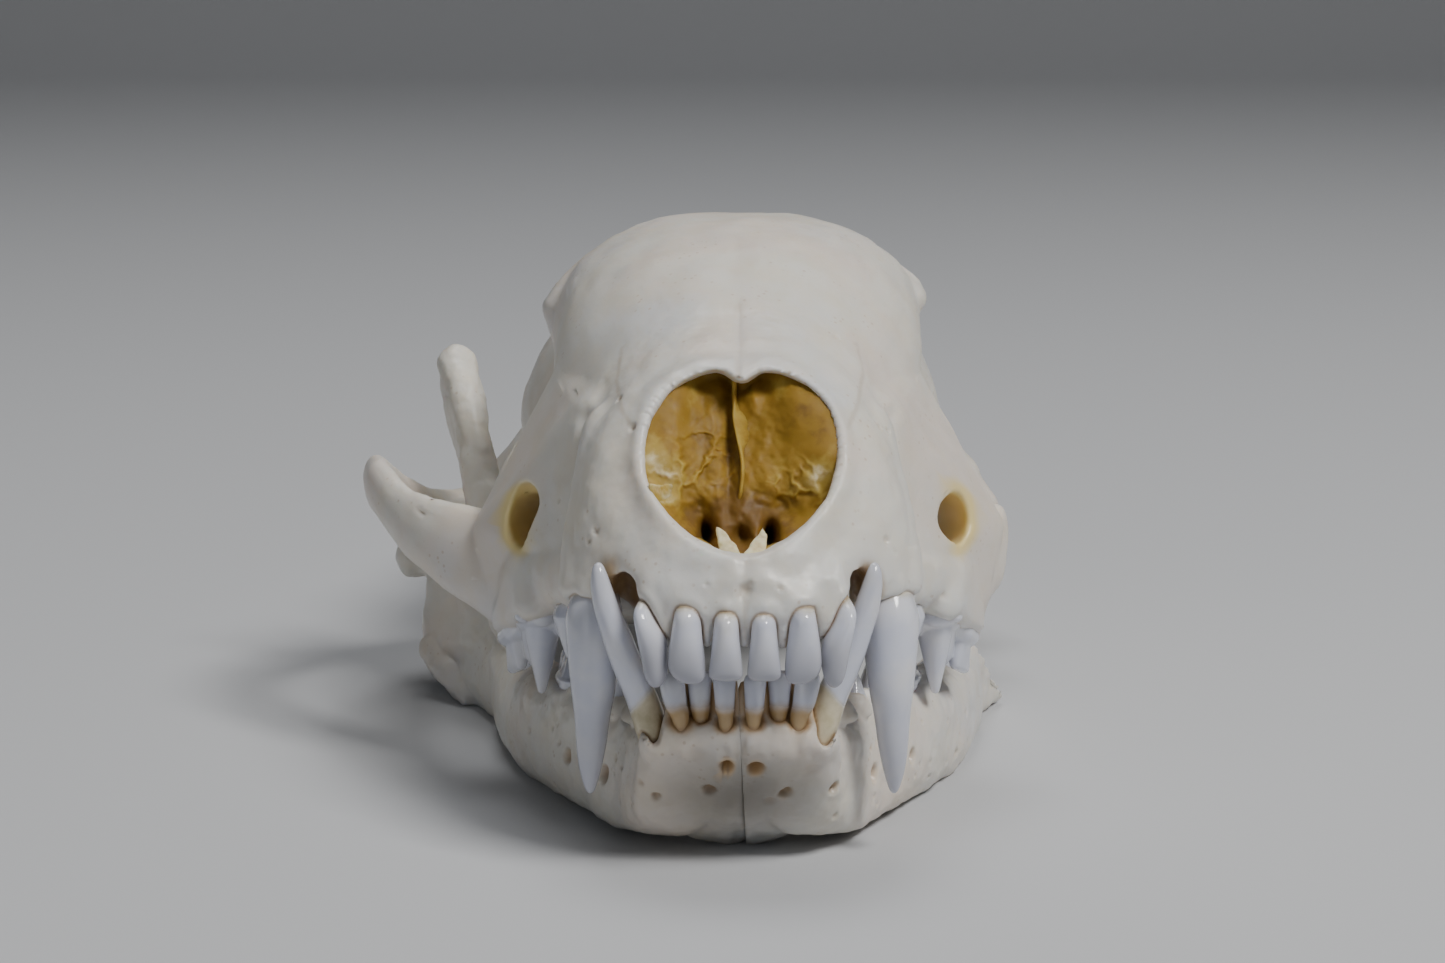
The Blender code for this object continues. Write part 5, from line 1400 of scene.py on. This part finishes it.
def dry_bone():
    """Bleached bone: cream with warm and cool patches, pores, stained sockets, amber nose wall,
    brown in pits and holes (partly stain, partly painted shade), a painted glow in the cheek canals
    and painted shade on the chin.
    """
    f = Finish("dry_bone")
    warm = f.ramp(f.noise(9.0, 3), 0.44, 0.64)
    cool = f.ramp(f.noise(15.0, 2), 0.50, 0.68)
    cloud = f.ramp(f.noise(2.6, 5), 0.38, 0.72)
    colour = f.tint((0.78, 0.755, 0.69), (0.80, 0.725, 0.65), warm)
    colour = f.tint(colour, (0.71, 0.74, 0.77), cool, 0.6)
    colour = f.tint(colour, (0.76, 0.66, 0.48), cloud, 0.30)
    streak = f.ramp(f.noise(0.8, 4, 0.6, (1.0, 0.25, 1.0)), 0.52, 0.72)
    colour = f.tint(colour, (0.66, 0.58, 0.46), streak, 0.16)
    pores = f.ramp(f.cells(0.55), 0.10, 0.24, 1.0, 0.0)
    sparse = f.math("MULTIPLY", pores, f.ramp(f.noise(3.5, 2), 0.52, 0.62))
    colour = f.tint(colour, (0.50, 0.37, 0.25), sparse, 0.42)
    amber = f.tint((0.55, 0.35, 0.05), (0.72, 0.53, 0.17), f.ramp(f.noise(2.2, 5), 0.35, 0.68))
    colour = f.tint(colour, amber, f.read("nose"))
    # Painted light: glow in the cheek canals
    colour = f.tint(colour, (0.87, 0.70, 0.30), f.read("canal"))
    # Painted shade on the front of the chin
    colour = f.tint(colour, (0.15, 0.135, 0.11), f.read("painted_chin_shade"), 0.85)
    # Brown in pits, holes and hollows: painted shade, partly stain
    hollow = f.tint((0.34, 0.19, 0.07), (0.50, 0.32, 0.12), f.ramp(f.noise(1.2, 3), 0.4, 0.6))
    colour = f.tint(colour, hollow, f.read("hollow"), 0.82)
    colour = f.tint(colour, (0.58, 0.34, 0.10), f.read("amber"), 0.75)
    colour = f.tint(colour, (0.50, 0.41, 0.30), f.read("seam"), 0.38)
    edge = f.math("ADD", f.read("tooth"), f.math("MULTIPLY", f.noise(0.5, 3), 0.14))
    stain = f.ramp(edge, 0.10, 0.24, 1.0, 0.0)
    colour = f.tint(colour, (0.36, 0.22, 0.11), stain, 0.55)
    rough = f.ramp(f.noise(1.8, 4), 0.3, 0.7, 0.30, 0.46)
    normal = f.bump(f.noise(1.0, 5, 0.6), 0.32, 0.06)
    normal = f.bump(f.noise(0.20, 3, 0.6), 0.22, 0.02, normal)
    normal = f.bump(sparse, -0.55, 0.05, normal)
    return f.done(colour, rough, normal, (1.0, 0.75, 0.5), Subsurface_Weight=0.22,
                  Subsurface_Scale=0.0011, IOR=1.5)


def enamel():
    """Glossy tooth enamel that passes into a duller, yellowish root."""
    f = Finish("enamel")
    line = f.math("ADD", f.read("from_gum"), f.math("MULTIPLY", f.noise(1.0, 3), 0.5))
    crown = f.ramp(line, -0.05, 0.75)
    white = f.tint((0.70, 0.725, 0.83), (0.79, 0.80, 0.855), f.ramp(f.noise(2.2, 3), 0.35, 0.7))
    white = f.tint(white, (0.80, 0.78, 0.74), f.ramp(f.noise(3.1, 2), 0.58, 0.78, 0.0, 0.45))
    # Blue-grey towards the tips: partly translucent enamel, partly painted shade
    white = f.tint(white, (0.38, 0.385, 0.44), f.read("edge"), 0.85)
    root = f.tint((0.70, 0.63, 0.46), (0.55, 0.49, 0.31), f.ramp(f.noise(0.8, 4), 0.35, 0.7))
    root = f.tint(root, (0.46, 0.27, 0.085), f.read("amber"), 0.85)
    colour = f.tint(root, white, crown)
    stain = f.ramp(f.read("socket"), 0.02, 0.24, 1.0, 0.0)
    colour = f.tint(colour, (0.34, 0.20, 0.09), stain, 0.70)
    rough = f.ramp(crown, 0.0, 1.0, 0.40, 0.13)
    lines = f.noise(0.5, 4, 0.6, (1.0, 1.0, 0.12))
    normal = f.bump(lines, 0.10, 0.02, f.bump(f.noise(1.5, 3), 0.14, 0.05))
    return f.done(colour, rough, normal, (0.8, 0.75, 0.9), Subsurface_Weight=0.20,
                  Subsurface_Scale=0.0007, Coat_Weight=0.3, Coat_Roughness=0.06, IOR=1.58)


def nose_bone():
    """Thin amber bone of the nose: brown in its depths, partly painted shade, near black as painted
    shade in its floor openings, gold on its walls, cream on its edges.
    """
    f = Finish("nose_bone")
    tone = f.math("ADD", f.read("tone"), f.ramp(f.noise(0.7, 5), 0.2, 0.8, -0.10, 0.10))
    # The darkest tones paint the shade in the floor's openings; the dark browns are partly the
    # bone's colour, partly painted shade
    colour = f.tint((0.09, 0.09, 0.09), (0.17, 0.082, 0.006), f.ramp(tone, -0.42, -0.20))
    colour = f.tint(colour, (0.31, 0.175, 0.012), f.ramp(tone, 0.06, 0.34))
    colour = f.tint(colour, (0.44, 0.30, 0.052), f.ramp(tone, 0.36, 0.60))
    colour = f.tint(colour, (0.84, 0.74, 0.49), f.ramp(tone, 0.58, 0.90))
    normal = f.bump(f.noise(0.30, 5, 0.65), 0.22, 0.04)
    rough = f.ramp(f.noise(0.9, 3), 0.3, 0.7, 0.55, 0.75)
    return f.done(colour, rough, normal, (1.0, 0.65, 0.25), Subsurface_Weight=0.40,
                  Subsurface_Scale=0.0010, IOR=1.5)


# ---- floor, light and camera


def aim(obj, place, direction):
    """Put a lamp or the camera in its place, looking in a direction."""
    obj.location = place
    obj.rotation_euler = direction.to_track_quat("-Z", "Y").to_euler()


def set_stage():
    """A plain pale floor that rises behind, and soft lights."""
    bm = bmesh.new()
    front, back, side, arc, wall = -0.9, 0.55, 1.4, 0.25, 1.1
    profile = [(front, 0.0), (back, 0.0)]
    for i in range(1, 13):
        angle = math.radians(90 * i / 12)
        profile.append((back + arc * math.sin(angle), arc - arc * math.cos(angle)))
    profile.append((back + arc, wall))
    rows = [[bm.verts.new((x, y, z)) for x in (-side, side)] for y, z in profile]
    for a, b in zip(rows, rows[1:]):
        bm.faces.new((a[0], a[1], b[1], b[0]))
    floor = mesh_object("floor", bm)
    floor.data.shade_smooth()
    paper = bpy.data.materials.new("paper")
    paper.use_nodes = True
    shader = paper.node_tree.nodes["Principled BSDF"]
    shader.inputs["Base Color"].default_value = (0.57, 0.58, 0.60, 1)
    shader.inputs["Roughness"].default_value = 0.9
    floor.data.materials.append(paper)
    lamps = (("key", (0.22, -0.22, 0.39), 0.14, 1.95, (1.0, 0.985, 0.96)),
             ("fill", (-0.30, -0.42, 0.16), 0.30, 0.13, (0.93, 0.96, 1.0)),
             ("top", (-0.02, 0.12, 0.46), 0.20, 0.62, (1.0, 1.0, 1.0)))
    for name, place, size, power, colour in lamps:
        light = bpy.data.lights.new(name, "AREA")
        light.size, light.energy, light.color = size, power, colour
        aim(add_object(name, light), place, Vector((0, 0, 0.012)) - Vector(place))
    world = bpy.data.worlds.new("studio")
    world.use_nodes = True
    sky = world.node_tree.nodes["Background"].inputs
    sky["Color"].default_value = (0.80, 0.84, 0.90, 1)
    sky["Strength"].default_value = 0.06
    bpy.context.scene.world = world


def set_camera():
    """The photograph's view: close in front, a little above the nose."""
    data = bpy.data.cameras.new("photograph")
    data.sensor_width = 36.0
    data.lens = FOCAL / PHOTO_WIDTH * data.sensor_width
    data.clip_start = 0.01
    camera = add_object("photograph", data)
    centre = sight(PHOTO_WIDTH / 2, PHOTO_HEIGHT / 2)
    aim(camera, TO_FRAME @ EYE, TO_FRAME.to_3x3() @ centre)
    bpy.context.scene.camera = camera


# ---- putting the skull together


def settle(obj, material):
    """Move a finished piece into the solids' frame, give it its finish and let it ride."""
    obj.data.transform(TO_FRAME)
    obj.data.materials.clear()
    obj.data.materials.append(material)
    obj.data.shade_smooth()
    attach(obj, BODY)
    return obj


def join(objects, name):
    """Several closed objects as one piece."""
    bm = gather(*objects)
    piece = add_object(name, bpy.data.meshes.new(name))
    bm.to_mesh(piece.data)
    bm.free()
    for obj in objects:
        bpy.data.objects.remove(obj)
    return piece


def mark_sockets(teeth, bone):
    """Distance from each point of the teeth to the bone that holds them."""
    tree = tree_of(bone)
    for tooth in teeth:
        near = [tree.find_nearest(v.co, 1.0) for v in tooth.data.vertices]
        extra = 0.14 if tooth.data.vertices[0].co.y > 8.2 else 0.0
        mark(tooth, "socket", [1.0 if n[0] is None else n[3] + extra for n in near])


def dress():
    """Make every piece and stand it in for its solid."""
    bone, tooth_white, scroll = dry_bone(), enamel(), nose_bone()
    upper = tooth_row(1, True) + tooth_row(-1, True)
    cranium = make_cranium()
    detail_cranium(cranium, upper)
    mark(cranium, "amber", 0)
    mark_sockets(upper, cranium)
    settle(cranium, bone)
    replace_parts(cranium, "cranium")
    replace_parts(settle(join(upper, "upper_teeth"), tooth_white), "cranium")
    for name, sign in (("mandible_left", 1), ("mandible_right", -1)):
        lower = tooth_row(sign, False)
        jaw = make_jaw(name + "_bone", sign)
        detail_jaw(jaw, sign, lower)
        mark_sockets(lower, jaw)
        settle(jaw, bone)
        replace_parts(jaw, name)
        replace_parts(settle(join(lower, name + "_teeth"), tooth_white), name)
    inner = join([nose_partition()] + nose_blades(), "nose_partition_and_blades")
    threads = grow("nose_threads", THREADS, thread_tree(scroll), Thickness=0.085, Waver=0.5,
                   Seed=3)
    mark(threads, "tone", 0.5)
    for piece in (nose_lining(), inner, threads):
        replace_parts(settle(piece, scroll), "cranium")


dress()
set_stage()
set_camera()
